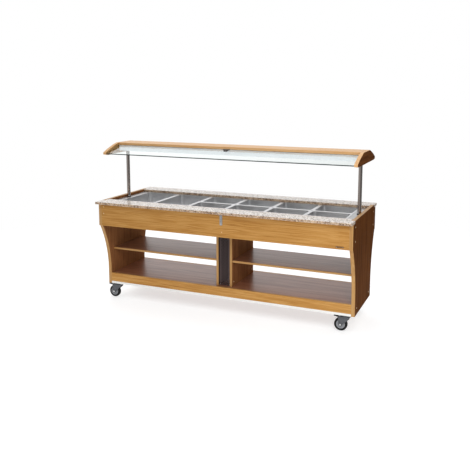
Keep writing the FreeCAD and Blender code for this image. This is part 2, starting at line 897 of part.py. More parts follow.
def make_hood_end():
    # Gable of solid wood: flat foot, blunt rounded tips, gently bowed slopes, and grooves for the panes
    half = hood_depth / 2
    ridge = board_depth / 2
    tip_top = hood_tip_bottom + hood_tip_height
    slope_y = ridge - half
    slope_z = hood_top - tip_top
    slope = math.hypot(slope_y, slope_z)

    def side_edges(side):
        foot = (inner_half, side * (half - hood_tip_run), hood_end_bottom)
        low = (inner_half, side * half, hood_tip_bottom)
        high = (inner_half, side * half, tip_top)
        bow_y = (half + ridge) / 2 + hood_edge_bulge * slope_z / slope
        bow_z = (tip_top + hood_top) / 2 - hood_edge_bulge * slope_y / slope
        top = (inner_half, side * ridge, hood_top)
        bow = (inner_half, side * bow_y, bow_z)
        return [line(foot, low), line(low, high), arc(high, bow, top)], foot, top

    front, front_foot, front_top = side_edges(-1)
    back, back_foot, back_top = side_edges(1)
    joining = [line(front_foot, back_foot), line(front_top, back_top)]
    outline = Part.Wire(Part.__sortEdges__(front + back + joining))
    gable = prism(outline, (hood_end_thickness, 0, 0))

    def tip_corner(bounds):
        return bounds.XLength > hood_end_thickness / 2 and abs(bounds.YMax) > half - hood_tip_round

    gable = eased(gable, hood_tip_round, tip_corner)
    half_groove = glass_thickness / 2 + glass_play
    groove = on_glass(box((inner_half, -glass_play, -half_groove),
                          (inner_half + groove_depth, glass_slope + glass_play, half_groove)))
    return gable.cut([groove, mirrored_y(groove)])


def make_hood_board():
    board = box((-inner_half, -board_depth / 2, board_bottom), (inner_half, board_depth / 2, hood_top))

    def top_edge(bounds):
        return bounds.ZMin > hood_top - board_ease and bounds.XLength > inner_half

    return eased(board, board_ease, top_edge)


def make_light_box():
    # Folded channel under the board, with lips for the diffuser and floors over the posts
    half = light_box_depth / 2
    sheet = light_box_sheet
    outer = box((-inner_half, -half, light_box_bottom), (inner_half, half, board_bottom))
    inner = box((-inner_half, sheet - half, light_box_bottom + sheet),
                (inner_half, half - sheet, board_bottom - sheet))
    window_x = inner_half - light_box_end_floor
    window_y = half - light_box_lip
    window = box((-window_x, -window_y, light_box_bottom), (window_x, window_y, light_box_bottom + sheet))
    return outer.cut([inner, window])


def make_diffuser():
    half_x = inner_half - light_box_end_floor + light_box_lip
    half_y = light_box_depth / 2 - light_box_sheet - panel_play
    low = light_box_bottom + light_box_sheet
    return box((-half_x, -half_y, low), (half_x, half_y, low + diffuser_thickness))


def lamp_axis_z():
    return light_box_bottom + lamp_rise


def lamp_outer_end():
    return inner_half - lamp_end_gap - holder_length


def make_lamp_tubes():
    # Side by side, so that their inner ends can pass each other
    tubes = []
    for side in (-1, 1):
        y = side * lamp_spread / 2
        outer = side * lamp_outer_end()
        inner = side * (lamp_outer_end() - lamp_length)
        tubes.append(cylinder(lamp_radius, (inner, y, lamp_axis_z()), (outer, y, lamp_axis_z())))
    return Part.makeCompound(tubes)


def make_lamp_holders():
    # Round-nosed blocks that hang from the roof of the light box
    top = board_bottom - light_box_sheet
    axis_z = lamp_axis_z()
    half = holder_half_width
    holders = []
    for side in (-1, 1):
        y = side * lamp_spread / 2
        for start in (lamp_outer_end(), lamp_outer_end() - lamp_length - holder_length):
            x = min(side * start, side * (start + holder_length))
            edges = [line((x, y - half, axis_z), (x, y - half, top)),
                     line((x, y - half, top), (x, y + half, top)),
                     line((x, y + half, top), (x, y + half, axis_z)),
                     arc((x, y + half, axis_z), (x, y, axis_z - half), (x, y - half, axis_z))]
            holders.append(prism(Part.Wire(edges), (holder_length, 0, 0)))
    return Part.makeCompound(holders)


def clip_bolt_place():
    return glass_slope - clip_start - clip_radius / 2


def make_front_glass():
    half = inner_half + groove_depth - glass_end_play
    thick = glass_thickness / 2
    pane = box((-half, 0, -thick), (half, glass_slope, thick))
    place = clip_bolt_place()
    hole = cylinder(clip_bolt + glass_play, (clip_x, place, -thick), (clip_x, place, thick))
    return on_glass(pane.cut(hole))


def make_front_clip():
    # Half-round jaw on the pane, a bolt through it, and a lower jaw that reaches the light box
    upper = glass_thickness / 2 + glass_play
    flat = glass_slope - clip_start
    edges = [line((clip_x - clip_radius, flat, upper), (clip_x + clip_radius, flat, upper)),
             arc((clip_x + clip_radius, flat, upper), (clip_x, flat - clip_radius, upper),
                 (clip_x - clip_radius, flat, upper))]
    jaw = prism(Part.Wire(edges), (0, 0, clip_sheet))
    place = clip_bolt_place()
    bolt = cylinder(clip_bolt, (clip_x, place, -upper), (clip_x, place, upper))
    reach = glass_slope + light_box_depth / 4
    lower = box((clip_x - clip_radius / 2, flat - clip_radius, -upper - clip_sheet),
                (clip_x + clip_radius / 2, reach, -upper))
    clip = on_glass(jaw.fuse([bolt, lower]))
    beyond = box((clip_x - clip_radius, -light_box_depth / 2, light_box_bottom - light_box_height),
                 (clip_x + clip_radius, light_box_depth / 2, hood_top + light_box_height))
    board = box((clip_x - clip_radius, -board_depth / 2 - seat_gap, board_bottom - seat_gap),
                (clip_x + clip_radius, board_depth / 2, hood_top))
    return clip.cut([beyond, board]).removeSplitter()


def make_castor_plate(x, y):
    # Bolt plate, swivel race and king pin
    low = castor_plate_bottom
    plate = prism(rounded_rectangle((x, y, low), castor_plate_length / 2, castor_plate_depth / 2,
                                    castor_plate_corner), (0, 0, castor_plate_thickness))
    race = Part.makeCone(race_radius, race_radius - race_taper, race_height, V(x, y, race_bottom))
    pin_bottom = crown_bottom - seat_gap
    pin = cylinder(king_pin_radius, (x, y, pin_bottom), (x, y, race_bottom))
    head = cylinder(king_pin_head, (x, y, pin_bottom - king_pin_head_length), (x, y, pin_bottom))
    return plate.fuse([race, pin, head]).removeSplitter()


def fork_half_width():
    return tyre_width / 2 + fork_side_gap


def make_fork(x, y, with_pedal):
    # Bent yoke: a crown round the king pin, two tapered legs and the axle bolt between them
    inner = fork_half_width()
    outer = inner + fork_sheet
    axle_x = x - castor_trail
    low = crown_top - fork_shoulder
    eye = fork_eye

    def leg(start_y):
        edges = [line((x + fork_front, start_y, crown_top), (x + fork_front, start_y, low)),
                 line((x + fork_front, start_y, low), (axle_x + eye, start_y, wheel_radius)),
                 arc((axle_x + eye, start_y, wheel_radius), (axle_x, start_y, wheel_radius - eye),
                     (axle_x - eye, start_y, wheel_radius)),
                 line((axle_x - eye, start_y, wheel_radius), (x - fork_back, start_y, low)),
                 line((x - fork_back, start_y, low), (x - fork_back, start_y, crown_top)),
                 line((x - fork_back, start_y, crown_top), (x + fork_front, start_y, crown_top))]
        return prism(Part.Wire(edges), (0, fork_sheet, 0))

    crown = box((x - fork_crown_back, y - outer, crown_bottom), (x + fork_front, y + outer, crown_top))
    crown = crown.cut(cylinder(king_pin_radius + running_gap, (x, y, crown_bottom), (x, y, crown_top)))
    bolt = cylinder(axle_radius, (axle_x, y - outer, wheel_radius), (axle_x, y + outer, wheel_radius))
    heads = []
    for side in (-1, 1):
        start = (axle_x, y + side * outer, wheel_radius)
        end = (axle_x, y + side * (outer + axle_head_length), wheel_radius)
        heads.append(cylinder(axle_head, start, end))
    fork = crown.fuse([leg(y - outer), leg(y + inner), bolt] + heads)
    if with_pedal:
        pivot_x, pivot_z = pedal_pivot(x)
        hole_radius = pedal_pin_radius + running_gap
        fork = fork.cut(cylinder(hole_radius, (pivot_x, y - outer, pivot_z), (pivot_x, y + outer, pivot_z)))
    return fork.removeSplitter()


def turned(outline, x, y):
    # Outline of (offset along the axle, radius) pairs, revolved about the axle
    wire = polygon([(x + radius, y + offset, wheel_radius) for offset, radius in outline])
    return Part.Face(wire).revolve(V(x, 0, wheel_radius), V(0, 1, 0), 360)


def make_wheel(swivel_x, y):
    # Moulded hub with a thin web, and a tyre with round shoulders seated on it
    x = swivel_x - castor_trail
    boss = fork_half_width() - panel_play
    web = hub_web / 2
    seat = tyre_seat_width / 2
    bore = axle_radius + running_gap
    seat_radius = wheel_radius - tyre_depth
    rim_radius = seat_radius - hub_rim
    side = [(boss, bore), (boss, hub_boss_radius), (web, hub_boss_radius + hub_web_slope),
            (web, rim_radius - hub_web_slope), (seat, rim_radius), (seat, seat_radius)]
    hub = turned(side + [(-offset, radius) for offset, radius in reversed(side)], x, y)
    half = tyre_width / 2
    bead_radius = seat_radius + tyre_bead
    shoulder = wheel_radius - tyre_round
    round_in = tyre_round * (1 - math.sqrt(0.5))

    def point(offset, radius):
        return (x + radius, y + offset, wheel_radius)

    edges = [line(point(-seat, seat_radius), point(-half, bead_radius)),
             line(point(-half, bead_radius), point(-half, shoulder)),
             arc(point(-half, shoulder), point(round_in - half, wheel_radius - round_in),
                 point(tyre_round - half, wheel_radius)),
             line(point(tyre_round - half, wheel_radius), point(half - tyre_round, wheel_radius)),
             arc(point(half - tyre_round, wheel_radius), point(half - round_in, wheel_radius - round_in),
                 point(half, shoulder)),
             line(point(half, shoulder), point(half, bead_radius)),
             line(point(half, bead_radius), point(seat, seat_radius)),
             line(point(seat, seat_radius), point(-seat, seat_radius))]
    tyre = Part.Face(Part.Wire(edges)).revolve(V(x, 0, wheel_radius), V(0, 1, 0), 360)
    return Part.makeCompound([hub, tyre])


def pedal_pivot(swivel_x):
    return swivel_x - pedal_pivot_back, crown_bottom - pedal_pivot_drop


def make_brake_pedal(swivel_x, y):
    # Lever on a cross pin, with a foot pad behind the wheel and a shoe shaped to the tyre
    pivot_x, pivot_z = pedal_pivot(swivel_x)
    axle_x = swivel_x - castor_trail
    half = fork_half_width() - panel_play
    outer = fork_half_width() + fork_sheet
    tip_x = pivot_x - pedal_reach
    tip_z = pivot_z + pedal_lift
    sheet = pedal_sheet / 2

    def lever_z(x):
        return pivot_z + (x - pivot_x) / (tip_x - pivot_x) * (tip_z - pivot_z)

    def across(outline, half_width):
        return prism(polygon([(x, y - half_width, z) for x, z in outline]), (0, 2 * half_width, 0))

    def strip(half_width, start_x):
        start_z = lever_z(start_x)
        return across([(start_x, start_z - sheet), (start_x, start_z + sheet), (tip_x, tip_z + sheet),
                       (tip_x, tip_z - sheet)], half_width)

    lever = strip(half, pivot_x)
    pad = strip(pedal_pad_half_width, tip_x + pedal_pad_length)
    knuckle_radius = pedal_pin_radius + pedal_knuckle_wall
    knuckle = cylinder(knuckle_radius, (pivot_x, y - half, pivot_z), (pivot_x, y + half, pivot_z))
    pin = cylinder(pedal_pin_radius, (pivot_x, y - outer, pivot_z), (pivot_x, y + outer, pivot_z))
    shoe_half = tyre_width / 2 - tyre_round
    near = pivot_x - shoe_near
    far = pivot_x - shoe_far
    shoe = across([(far, wheel_radius), (near, wheel_radius), (near, lever_z(near)), (far, lever_z(far))],
                  shoe_half)
    clear = cylinder(wheel_radius + shoe_gap, (axle_x, y - shoe_half, wheel_radius),
                     (axle_x, y + shoe_half, wheel_radius))
    return lever.fuse([pad, knuckle, pin, shoe.cut(clear)]).removeSplitter()


def make_all():
    right_panel = make_side_panel()
    front_apron = make_apron()
    front_skirt = make_skirt()
    right_divider = make_divider()
    right_shelf = make_shelf()
    front_slabs = make_front_slabs()
    front_bracket = make_front_bracket()
    element = make_heating_element()
    right_post = make_post()
    right_hood_end = make_hood_end()
    front_glass = make_front_glass()
    front_clip = make_front_clip()
    nodes = {
        "left_side_panel": mirrored_x(right_panel),
        "right_side_panel": right_panel,
        "front_apron": front_apron,
        "back_apron": mirrored_y(front_apron),
        "base_deck": make_deck(),
        "base_skirts": Part.makeCompound([front_skirt, mirrored_y(front_skirt)]),
        "base_frame": make_base_frame(),
        "left_divider": mirrored_x(right_divider),
        "right_divider": right_divider,
        "left_shelf": mirrored_x(right_shelf),
        "right_shelf": right_shelf,
        "front_grille": make_grille(),
        "control_panel": make_control_panel(),
        "front_slabs": front_slabs,
        "back_slabs": mirrored_y(front_slabs),
        "slab_joint_brackets": Part.makeCompound([front_bracket, mirrored_y(front_bracket)]),
        "well_basin": make_well_basin(),
        "pan_bars": make_pan_bars(),
        "heating_elements": Part.makeCompound([element, mirrored_x(element)]),
        "thermostat": make_thermostat(),
        "thermostat_knob": make_knob(),
        "switch_housings": Part.makeCompound([make_switch_housing(-switch_spread / 2),
                                              make_switch_housing(switch_spread / 2)]),
        "heat_rocker": make_rocker(-switch_spread / 2),
        "light_rocker": make_rocker(switch_spread / 2),
        "drain_cock": make_drain_cock(),
        "drain_lever": make_drain_lever(),
        "cable_gland": make_cable_gland(),
        "left_post": mirrored_x(right_post),
        "right_post": right_post,
        "hood_left_end": mirrored_x(right_hood_end),
        "hood_right_end": right_hood_end,
        "hood_top_board": make_hood_board(),
        "light_box": make_light_box(),
        "light_diffuser": make_diffuser(),
        "lamp_tubes": make_lamp_tubes(),
        "lamp_holders": make_lamp_holders(),
        "front_glass": front_glass,
        "back_glass": mirrored_y(front_glass),
        "glass_clips": Part.makeCompound([front_clip, mirrored_y(front_clip)]),
    }
    nodes.update(make_pans())
    plates = []
    for row, side_y in (("front", -1), ("back", 1)):
        for end, side_x in (("left", -1), ("right", 1)):
            x = side_x * castor_x
            y = side_y * castor_y
            corner = row + "_" + end
            braked = row == "front"
            plates.append(make_castor_plate(x, y))
            nodes[corner + "_fork"] = make_fork(x, y, braked)
            nodes[corner + "_wheel"] = make_wheel(x, y)
            if braked:
                nodes[corner + "_brake_pedal"] = make_brake_pedal(x, y)
    nodes["castor_plates"] = Part.makeCompound(plates)
    return nodes


os.makedirs("parts", exist_ok=True)
for name, shape in make_all().items():
    shape.exportStep("parts/%s.step" % name)
    print(name, len(shape.Solids), "solids", shape.isValid())
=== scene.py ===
import json
import math
import bmesh
import bpy
from mathutils import Matrix, Vector

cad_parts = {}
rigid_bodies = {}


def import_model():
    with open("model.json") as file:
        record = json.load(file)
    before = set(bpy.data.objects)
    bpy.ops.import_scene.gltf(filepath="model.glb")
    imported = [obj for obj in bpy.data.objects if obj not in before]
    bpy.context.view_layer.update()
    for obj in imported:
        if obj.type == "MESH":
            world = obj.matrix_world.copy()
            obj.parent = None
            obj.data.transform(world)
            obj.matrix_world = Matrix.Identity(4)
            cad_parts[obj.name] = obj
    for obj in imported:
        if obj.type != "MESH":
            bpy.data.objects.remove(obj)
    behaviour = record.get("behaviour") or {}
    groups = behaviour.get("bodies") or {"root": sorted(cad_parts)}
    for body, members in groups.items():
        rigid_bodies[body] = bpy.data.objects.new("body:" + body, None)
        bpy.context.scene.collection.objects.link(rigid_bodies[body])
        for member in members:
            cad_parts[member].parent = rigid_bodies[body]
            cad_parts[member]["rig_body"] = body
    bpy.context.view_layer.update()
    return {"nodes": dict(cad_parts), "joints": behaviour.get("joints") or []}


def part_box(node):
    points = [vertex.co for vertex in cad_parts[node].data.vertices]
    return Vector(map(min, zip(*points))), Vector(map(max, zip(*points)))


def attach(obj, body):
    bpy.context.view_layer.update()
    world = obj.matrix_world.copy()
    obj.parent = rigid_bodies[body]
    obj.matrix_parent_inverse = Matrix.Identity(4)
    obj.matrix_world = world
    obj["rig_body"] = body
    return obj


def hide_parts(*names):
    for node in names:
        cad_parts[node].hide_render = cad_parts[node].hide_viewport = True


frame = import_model()
nodes = frame["nodes"]
joints = {joint["name"]: joint for joint in frame["joints"]}

mm = 0.001
axisY = Vector((0, 1, 0))
axisZ = Vector((0, 0, 1))
finish = {}  # every material by its name


# Shader tools: a wire is one socket, and sums or products of wires add their Math nodes

class Wire:
    def __init__(self, board, socket):
        self.board = board
        self.socket = socket

    def maths(self, operation, first, second=0.0):
        return self.board.node("Math", {"operation": operation}, {0: first, 1: second})

    def __add__(self, other):
        return self.maths("ADD", self, other)

    def __radd__(self, other):
        return self.maths("ADD", other, self)

    def __sub__(self, other):
        return self.maths("SUBTRACT", self, other)

    def __rsub__(self, other):
        return self.maths("SUBTRACT", other, self)

    def __mul__(self, other):
        return self.maths("MULTIPLY", self, other)

    def __rmul__(self, other):
        return self.maths("MULTIPLY", other, self)

    def sine(self):
        return self.maths("SINE", self)


class NodeBoard:
    def __init__(self, tree):
        self.tree = tree
        tree.nodes.clear()

    def node(self, kind, settings=None, sockets=None, output=0):
        made = self.tree.nodes.new("ShaderNode" + kind)
        for key, value in (settings or {}).items():
            if key == "stops":
                self.setStops(made.color_ramp.elements, value)
            else:
                setattr(made, key, value)
        for key, value in (sockets or {}).items():
            if isinstance(value, Wire):
                self.tree.links.new(value.socket, made.inputs[key])
            else:
                made.inputs[key].default_value = value
        return Wire(self, made.outputs[output]) if len(made.outputs) else None

    def setStops(self, elements, stops):
        while len(elements) < len(stops):
            elements.new(0.5)
        for element, (position, colour) in zip(elements, stops):
            element.position = position
            element.color = colour

    def mix(self, factor, first, second, blend="MIX"):
        settings = {"data_type": "RGBA", "blend_type": blend}
        return self.node("Mix", settings, {0: factor, 6: first, 7: second}, 2)

    def place(self, scale=(1, 1, 1), shift=(0, 0, 0)):
        spot = self.node("TexCoord", output="Object")
        return self.node("Mapping", {}, {"Vector": spot, "Location": shift, "Scale": scale})

    def noise(self, vector, scale, detail=4.0, rough=0.55, twist=0.0):
        sockets = {"Vector": vector, "Scale": scale, "Detail": detail, "Roughness": rough,
                   "Distortion": twist}
        return self.node("TexNoise", {}, sockets)

    def cells(self, vector, scale):
        return self.node("TexVoronoi", {}, {"Vector": vector, "Scale": scale}, "Color")

    def channel(self, colour, index):
        return self.node("SeparateColor", {}, {"Color": colour}, index)

    def step(self, value, low, high):
        sockets = {"Value": value, "From Min": low, "From Max": high}
        return self.node("MapRange", {"interpolation_type": "SMOOTHSTEP"}, sockets)

    def surface(self, sockets, height=None, strength=0.0, distance=0.0):
        linked = dict(sockets)
        if height is not None:
            bump = {"Strength": strength, "Distance": distance, "Height": height}
            linked["Normal"] = self.node("Bump", {}, bump)
        shader = self.node("BsdfPrincipled", {}, linked)
        self.node("OutputMaterial", {}, {"Surface": shader})


def newFinish(name):
    material = bpy.data.materials.new(name)
    material.use_nodes = True
    finish[name] = material
    return NodeBoard(material.node_tree)


def tint(red, green, blue):
    # sRGB bytes to a linear colour
    def linear(value):
        share = value / 255
        return share / 12.92 if share <= 0.04045 else ((share + 0.055) / 1.055) ** 2.4
    return (linear(red), linear(green), linear(blue), 1.0)


# Wood: grain runs along one axis, with figure, fibres and open pores

wood = {"stopsAt": (0.1, 0.45, 0.8), "twist": 0.5, "cloudScale": 2.2, "cloudTone": 0.3, "toneDrop": 0.02,
        "fibreStretch": 60, "fibreScale": 4.0, "fibreTone": 0.75, "fibreRough": 0.14, "fibreHeight": 0.6,
        "poreStretch": 45, "poreScale": 22.0, "poreShift": (3, 5, 7), "poreBand": (0.62, 0.72),
        "poreRough": 0.1, "poreDepth": 0.8, "ringRough": 0.04, "ringHeight": 0.15, "coatRough": 0.25,
        "bump": 0.22, "bumpDepth": 0.4 * mm}


def woodFinish(name, look):
    board = newFinish(name)
    along = "XYZ".index(look["grain"])

    def stretched(ratio, shift=(0, 0, 0)):
        scale = [ratio, ratio, ratio]
        scale[along] = 1.0
        return board.place(scale, shift)

    swirl = stretched(look["stretch"], look["shift"])
    figure = board.noise(swirl, look["figure"], detail=3.0, rough=0.5, twist=wood["twist"])
    rings = (figure * look["rings"]).sine() * 0.5 + 0.5
    fibre = board.noise(stretched(wood["fibreStretch"]), wood["fibreScale"], detail=5.0, rough=0.6)
    specks = stretched(wood["poreStretch"], wood["poreShift"])
    pores = board.step(board.noise(specks, wood["poreScale"], detail=2.0, rough=0.5), *wood["poreBand"])
    clouds = board.noise(board.place(), wood["cloudScale"], detail=2.0, rough=0.5)
    tone = rings * look["contrast"] + fibre * wood["fibreTone"] + clouds * wood["cloudTone"]
    tone = tone - 0.5 * look["contrast"] - wood["toneDrop"]
    stops = list(zip(wood["stopsAt"], look["tones"]))
    colour = board.node("ValToRGB", {"stops": stops}, {"Fac": tone})
    colour = board.mix(pores * look["pores"], colour, look["poreColour"])
    rough = look["rough"] + fibre * wood["fibreRough"] - rings * wood["ringRough"] + pores * wood["poreRough"]
    height = fibre * wood["fibreHeight"] - pores * wood["poreDepth"] + rings * wood["ringHeight"]
    sockets = {"Base Color": colour, "Roughness": rough, "Coat Weight": look["coat"],
               "Coat Roughness": wood["coatRough"], "IOR": look["bend"]}
    board.surface(sockets, height, wood["bump"], wood["bumpDepth"])


oakLook = {"grain": "X", "stretch": 30.0, "figure": 1.6, "rings": 30.0, "contrast": 0.24, "pores": 0.5,
           "shift": (0, 0, 0), "rough": 0.44, "coat": 0.0, "bend": 1.25, "poreColour": tint(112, 66, 26),
           "tones": (tint(137, 87, 37), tint(177, 127, 63), tint(199, 153, 90))}
# base walnut tones, dark: where the side panels' outer faces use them, they are partly the laminate's colour
# and partly painted shade
walnutLook = {"grain": "Z", "stretch": 26.0, "figure": 1.0, "rings": 28.0, "contrast": 0.3, "pores": 0.45,
              "shift": (1, 2, 3), "rough": 0.6, "coat": 0.0, "bend": 1.05, "poreColour": tint(38, 20, 10),
              "tones": (tint(56, 28, 9), tint(86, 48, 17), tint(108, 63, 26))}
beechLook = {"grain": "X", "stretch": 30.0, "figure": 0.9, "rings": 26.0, "contrast": 0.2, "pores": 0.35,
             "shift": (7, 3, 5), "rough": 0.4, "coat": 0.08, "bend": 1.35, "poreColour": tint(166, 108, 60),
             "tones": (tint(182, 128, 76), tint(208, 161, 108), tint(222, 183, 136))}
edgeLook = dict(beechLook, grain="Z", rough=0.38,
                tones=(tint(144, 100, 54), tint(172, 128, 74), tint(190, 150, 95)))
woodLooks = {
    "oakAlong": oakLook,
    "walnutUpright": walnutLook,
    "walnutBoard": dict(walnutLook, grain="X", rough=0.28, coat=0.25, bend=1.45, shift=(4, 1, 2),
                        tones=(tint(107, 64, 44), tint(141, 91, 66), tint(161, 110, 82))),
    # painted light: a lighter copy of the walnut for the faces turned into the bays, standing in for light
    # that reaches inside
    "walnutInner": dict(walnutLook, shift=(5, 3, 2), contrast=0.18,
                        tones=(tint(88, 54, 31), tint(130, 85, 52), tint(158, 107, 67))),
    # the gables' broad faces get a dark walnut tone, partly a walnut face and partly painted shade; their
    # face toward the middle keeps a beech tone
    "walnutGable": dict(walnutLook, grain="Y", shift=(2, 6, 1),
                        tones=(tint(60, 32, 13), tint(92, 53, 24), tint(116, 70, 34))),
    "beechAlong": beechLook,
    "edgeUpright": edgeLook,
    "edgeAlong": dict(edgeLook, grain="X"),
    "gableInner": dict(edgeLook, grain="Y"),
    "edgeAcross": dict(beechLook, grain="Y", shift=(3, 8, 2)),
}
for name, look in woodLooks.items():
    woodFinish(name, look)
print("wood finishes made:", len(finish))


# Polished stone with pale, dark and brown grains

stone = {"warpScale": 60.0, "warp": 6 * mm, "grain": 185.0, "patch": 72.0, "fleck": 360.0, "cloud": 9.0,
         "grains": [(0.0, tint(84, 74, 72)), (0.12, tint(132, 112, 100)), (0.22, tint(186, 170, 160)),
                    (0.45, tint(210, 198, 192)), (0.64, tint(226, 216, 208)), (0.8, tint(240, 228, 208)),
                    (0.91, tint(166, 130, 104))],
         "brownBand": (0.76, 0.84), "paleBand": (0.26, 0.18), "fleckBand": (0.86, 0.9),
         "layers": [("clouds", 0.2, tint(198, 184, 176)), ("brownPatch", 0.6, tint(104, 84, 74)),
                    ("palePatch", 0.6, tint(244, 236, 224)), ("darkFleck", 0.75, tint(64, 56, 60)),
                    ("paleFleck", 0.6, tint(244, 238, 228))],
         "rough": 0.16, "fleckRough": 0.08, "cloudRough": 0.06, "coat": 0.25, "coatRough": 0.06,
         "cloudHeight": 0.5, "fleckHeight": -0.5, "bump": 0.05, "bumpDepth": 0.3 * mm}


def stoneFinish(name, cast):
    board = newFinish(name)
    spot = board.place()
    warp = board.noise(spot, stone["warpScale"], detail=2.0)
    reach = (stone["warp"], stone["warp"], stone["warp"])
    bent = board.node("VectorMath", {"operation": "MULTIPLY_ADD"}, {0: warp, 1: reach, 2: spot})
    cell = board.channel(board.cells(bent, stone["grain"]), 0)
    patch = board.channel(board.cells(bent, stone["patch"]), 1)
    flecks = board.cells(bent, stone["fleck"])
    masks = {"clouds": board.noise(spot, stone["cloud"], detail=3.0),
             "brownPatch": board.step(patch, *stone["brownBand"]),
             "palePatch": board.step(patch, *stone["paleBand"]),
             "darkFleck": board.step(board.channel(flecks, 1), *stone["fleckBand"]),
             "paleFleck": board.step(board.channel(flecks, 2), *stone["fleckBand"])}
    colour = board.node("ValToRGB", {"stops": stone["grains"]}, {"Fac": cell})
    for layer, share, tone in stone["layers"]:
        colour = board.mix(masks[layer] * share, colour, tone)
    # the cast multiplies the colour; on the slab's edges it paints shade, darker and warmer
    colour = board.mix(1.0, colour, cast, "MULTIPLY")
    clouds = masks["clouds"]
    dark = masks["darkFleck"]
    rough = stone["rough"] + dark * stone["fleckRough"] + clouds * stone["cloudRough"]
    sockets = {"Base Color": colour, "Roughness": rough, "Coat Weight": stone["coat"],
               "Coat Roughness": stone["coatRough"]}
    height = clouds * stone["cloudHeight"] + dark * stone["fleckHeight"]
    board.surface(sockets, height, stone["bump"], stone["bumpDepth"])


stoneFinish("polishedGranite", tint(255, 255, 255))
# painted shade: the slab's side faces take a darker, warmer copy of the polished stone
stoneFinish("graniteEdgePaintedShade", tint(226, 208, 187))


# Metals: brushed along an axis, with smudges that change the gloss

metal = {"streakTone": 0.5, "smudgeTone": 0.4, "bumpDepth": 0.2 * mm}


def metalFinish(name, look):
    board = newFinish(name)
    scale = [look["stretch"], look["stretch"], look["stretch"]]
    if look["brush"]:
        scale["XYZ".index(look["brush"])] = 1.0
    streak = board.noise(board.place(scale), look["lines"], detail=5.0, rough=0.65)
    smudge = board.noise(board.place(), look["smudge"], detail=3.0, rough=0.5)
    shine = streak * metal["streakTone"] + smudge * metal["smudgeTone"]
    colour = board.mix(shine, look["dark"], look["bright"])
    rough = look["rough"] + (streak - 0.5) * look["spread"] + (smudge - 0.5) * look["spread"]
    sockets = {"Base Color": colour, "Roughness": rough, "Metallic": look["metal"]}
    board.surface(sockets, streak, look["bump"], metal["bumpDepth"])


steelLook = {"brush": "X", "stretch": 40.0, "lines": 8.0, "smudge": 6.0, "rough": 0.3, "spread": 0.16,
             "metal": 1.0, "bump": 0.06, "dark": tint(150, 150, 152), "bright": tint(214, 214, 214)}
plainLook = dict(steelLook, brush="", stretch=1.0)  # no brushed direction
metalLooks = {
    "brushedSteel": steelLook,
    "panSteel": dict(plainLook, lines=90.0, spread=0.1, bump=0.03,
                     dark=tint(198, 198, 200), bright=tint(240, 240, 240)),
    "postSteel": dict(steelLook, brush="Z", rough=0.14, spread=0.08, bump=0.02,
                      dark=tint(176, 164, 158), bright=tint(224, 214, 207)),
    "zincPlate": dict(plainLook, lines=120.0, smudge=40.0, rough=0.42, metal=0.75,
                      dark=tint(46, 47, 50), bright=tint(124, 126, 130)),
    "boltSteel": dict(plainLook, lines=200.0, rough=0.28, metal=0.85,
                      dark=tint(196, 196, 198), bright=tint(242, 242, 242)),
    "brassFitting": dict(plainLook, lines=90.0, dark=tint(150, 112, 52), bright=tint(212, 174, 104)),
    "elementSheath": dict(plainLook, lines=60.0, rough=0.42,
                          dark=tint(84, 78, 74), bright=tint(138, 128, 120)),
    "frameZinc": dict(steelLook, rough=0.45, metal=0.15,
                      dark=tint(218, 218, 215), bright=tint(242, 242, 239)),
    "plateSteel": dict(steelLook, brush="Z", rough=0.34),
    "clipSteel": dict(plainLook, lines=150.0, rough=0.4, metal=0.8,
                      dark=tint(74, 72, 71), bright=tint(126, 123, 120)),
}
for name, look in metalLooks.items():
    metalFinish(name, look)


# Paint, plastic and rubber: a fine skin with slight mottling and scuffs

skin = {"scuffStretch": (1, 6, 2), "scuffScale": 3, "scuffBand": (0.6, 0.78), "scuffRough": 0.08,
        "grainRough": 0.16, "bumpDepth": 0.2 * mm}


def skinFinish(name, look):
    board = newFinish(name)
    grain = board.noise(board.place(), look["grain"], detail=3.0, rough=0.6)
    clouds = board.noise(board.place(), look["clouds"], detail=2.0, rough=0.5)
    streaks = board.place(skin["scuffStretch"])
    rubbed = board.noise(streaks, look["clouds"] * skin["scuffScale"], detail=5.0, rough=0.7)
    scuff = board.step(rubbed, *skin["scuffBand"])
    colour = board.mix(clouds, look["dark"], look["bright"])
    colour = board.mix(scuff * look["wear"], colour, look["scuff"])
    rough = look["rough"] + (grain - 0.5) * skin["grainRough"] + scuff * skin["scuffRough"]
    sockets = {"Base Color": colour, "Roughness": rough}
    sockets.update(look.get("extra", {}))
    board.surface(sockets, grain, look["bump"], skin["bumpDepth"])


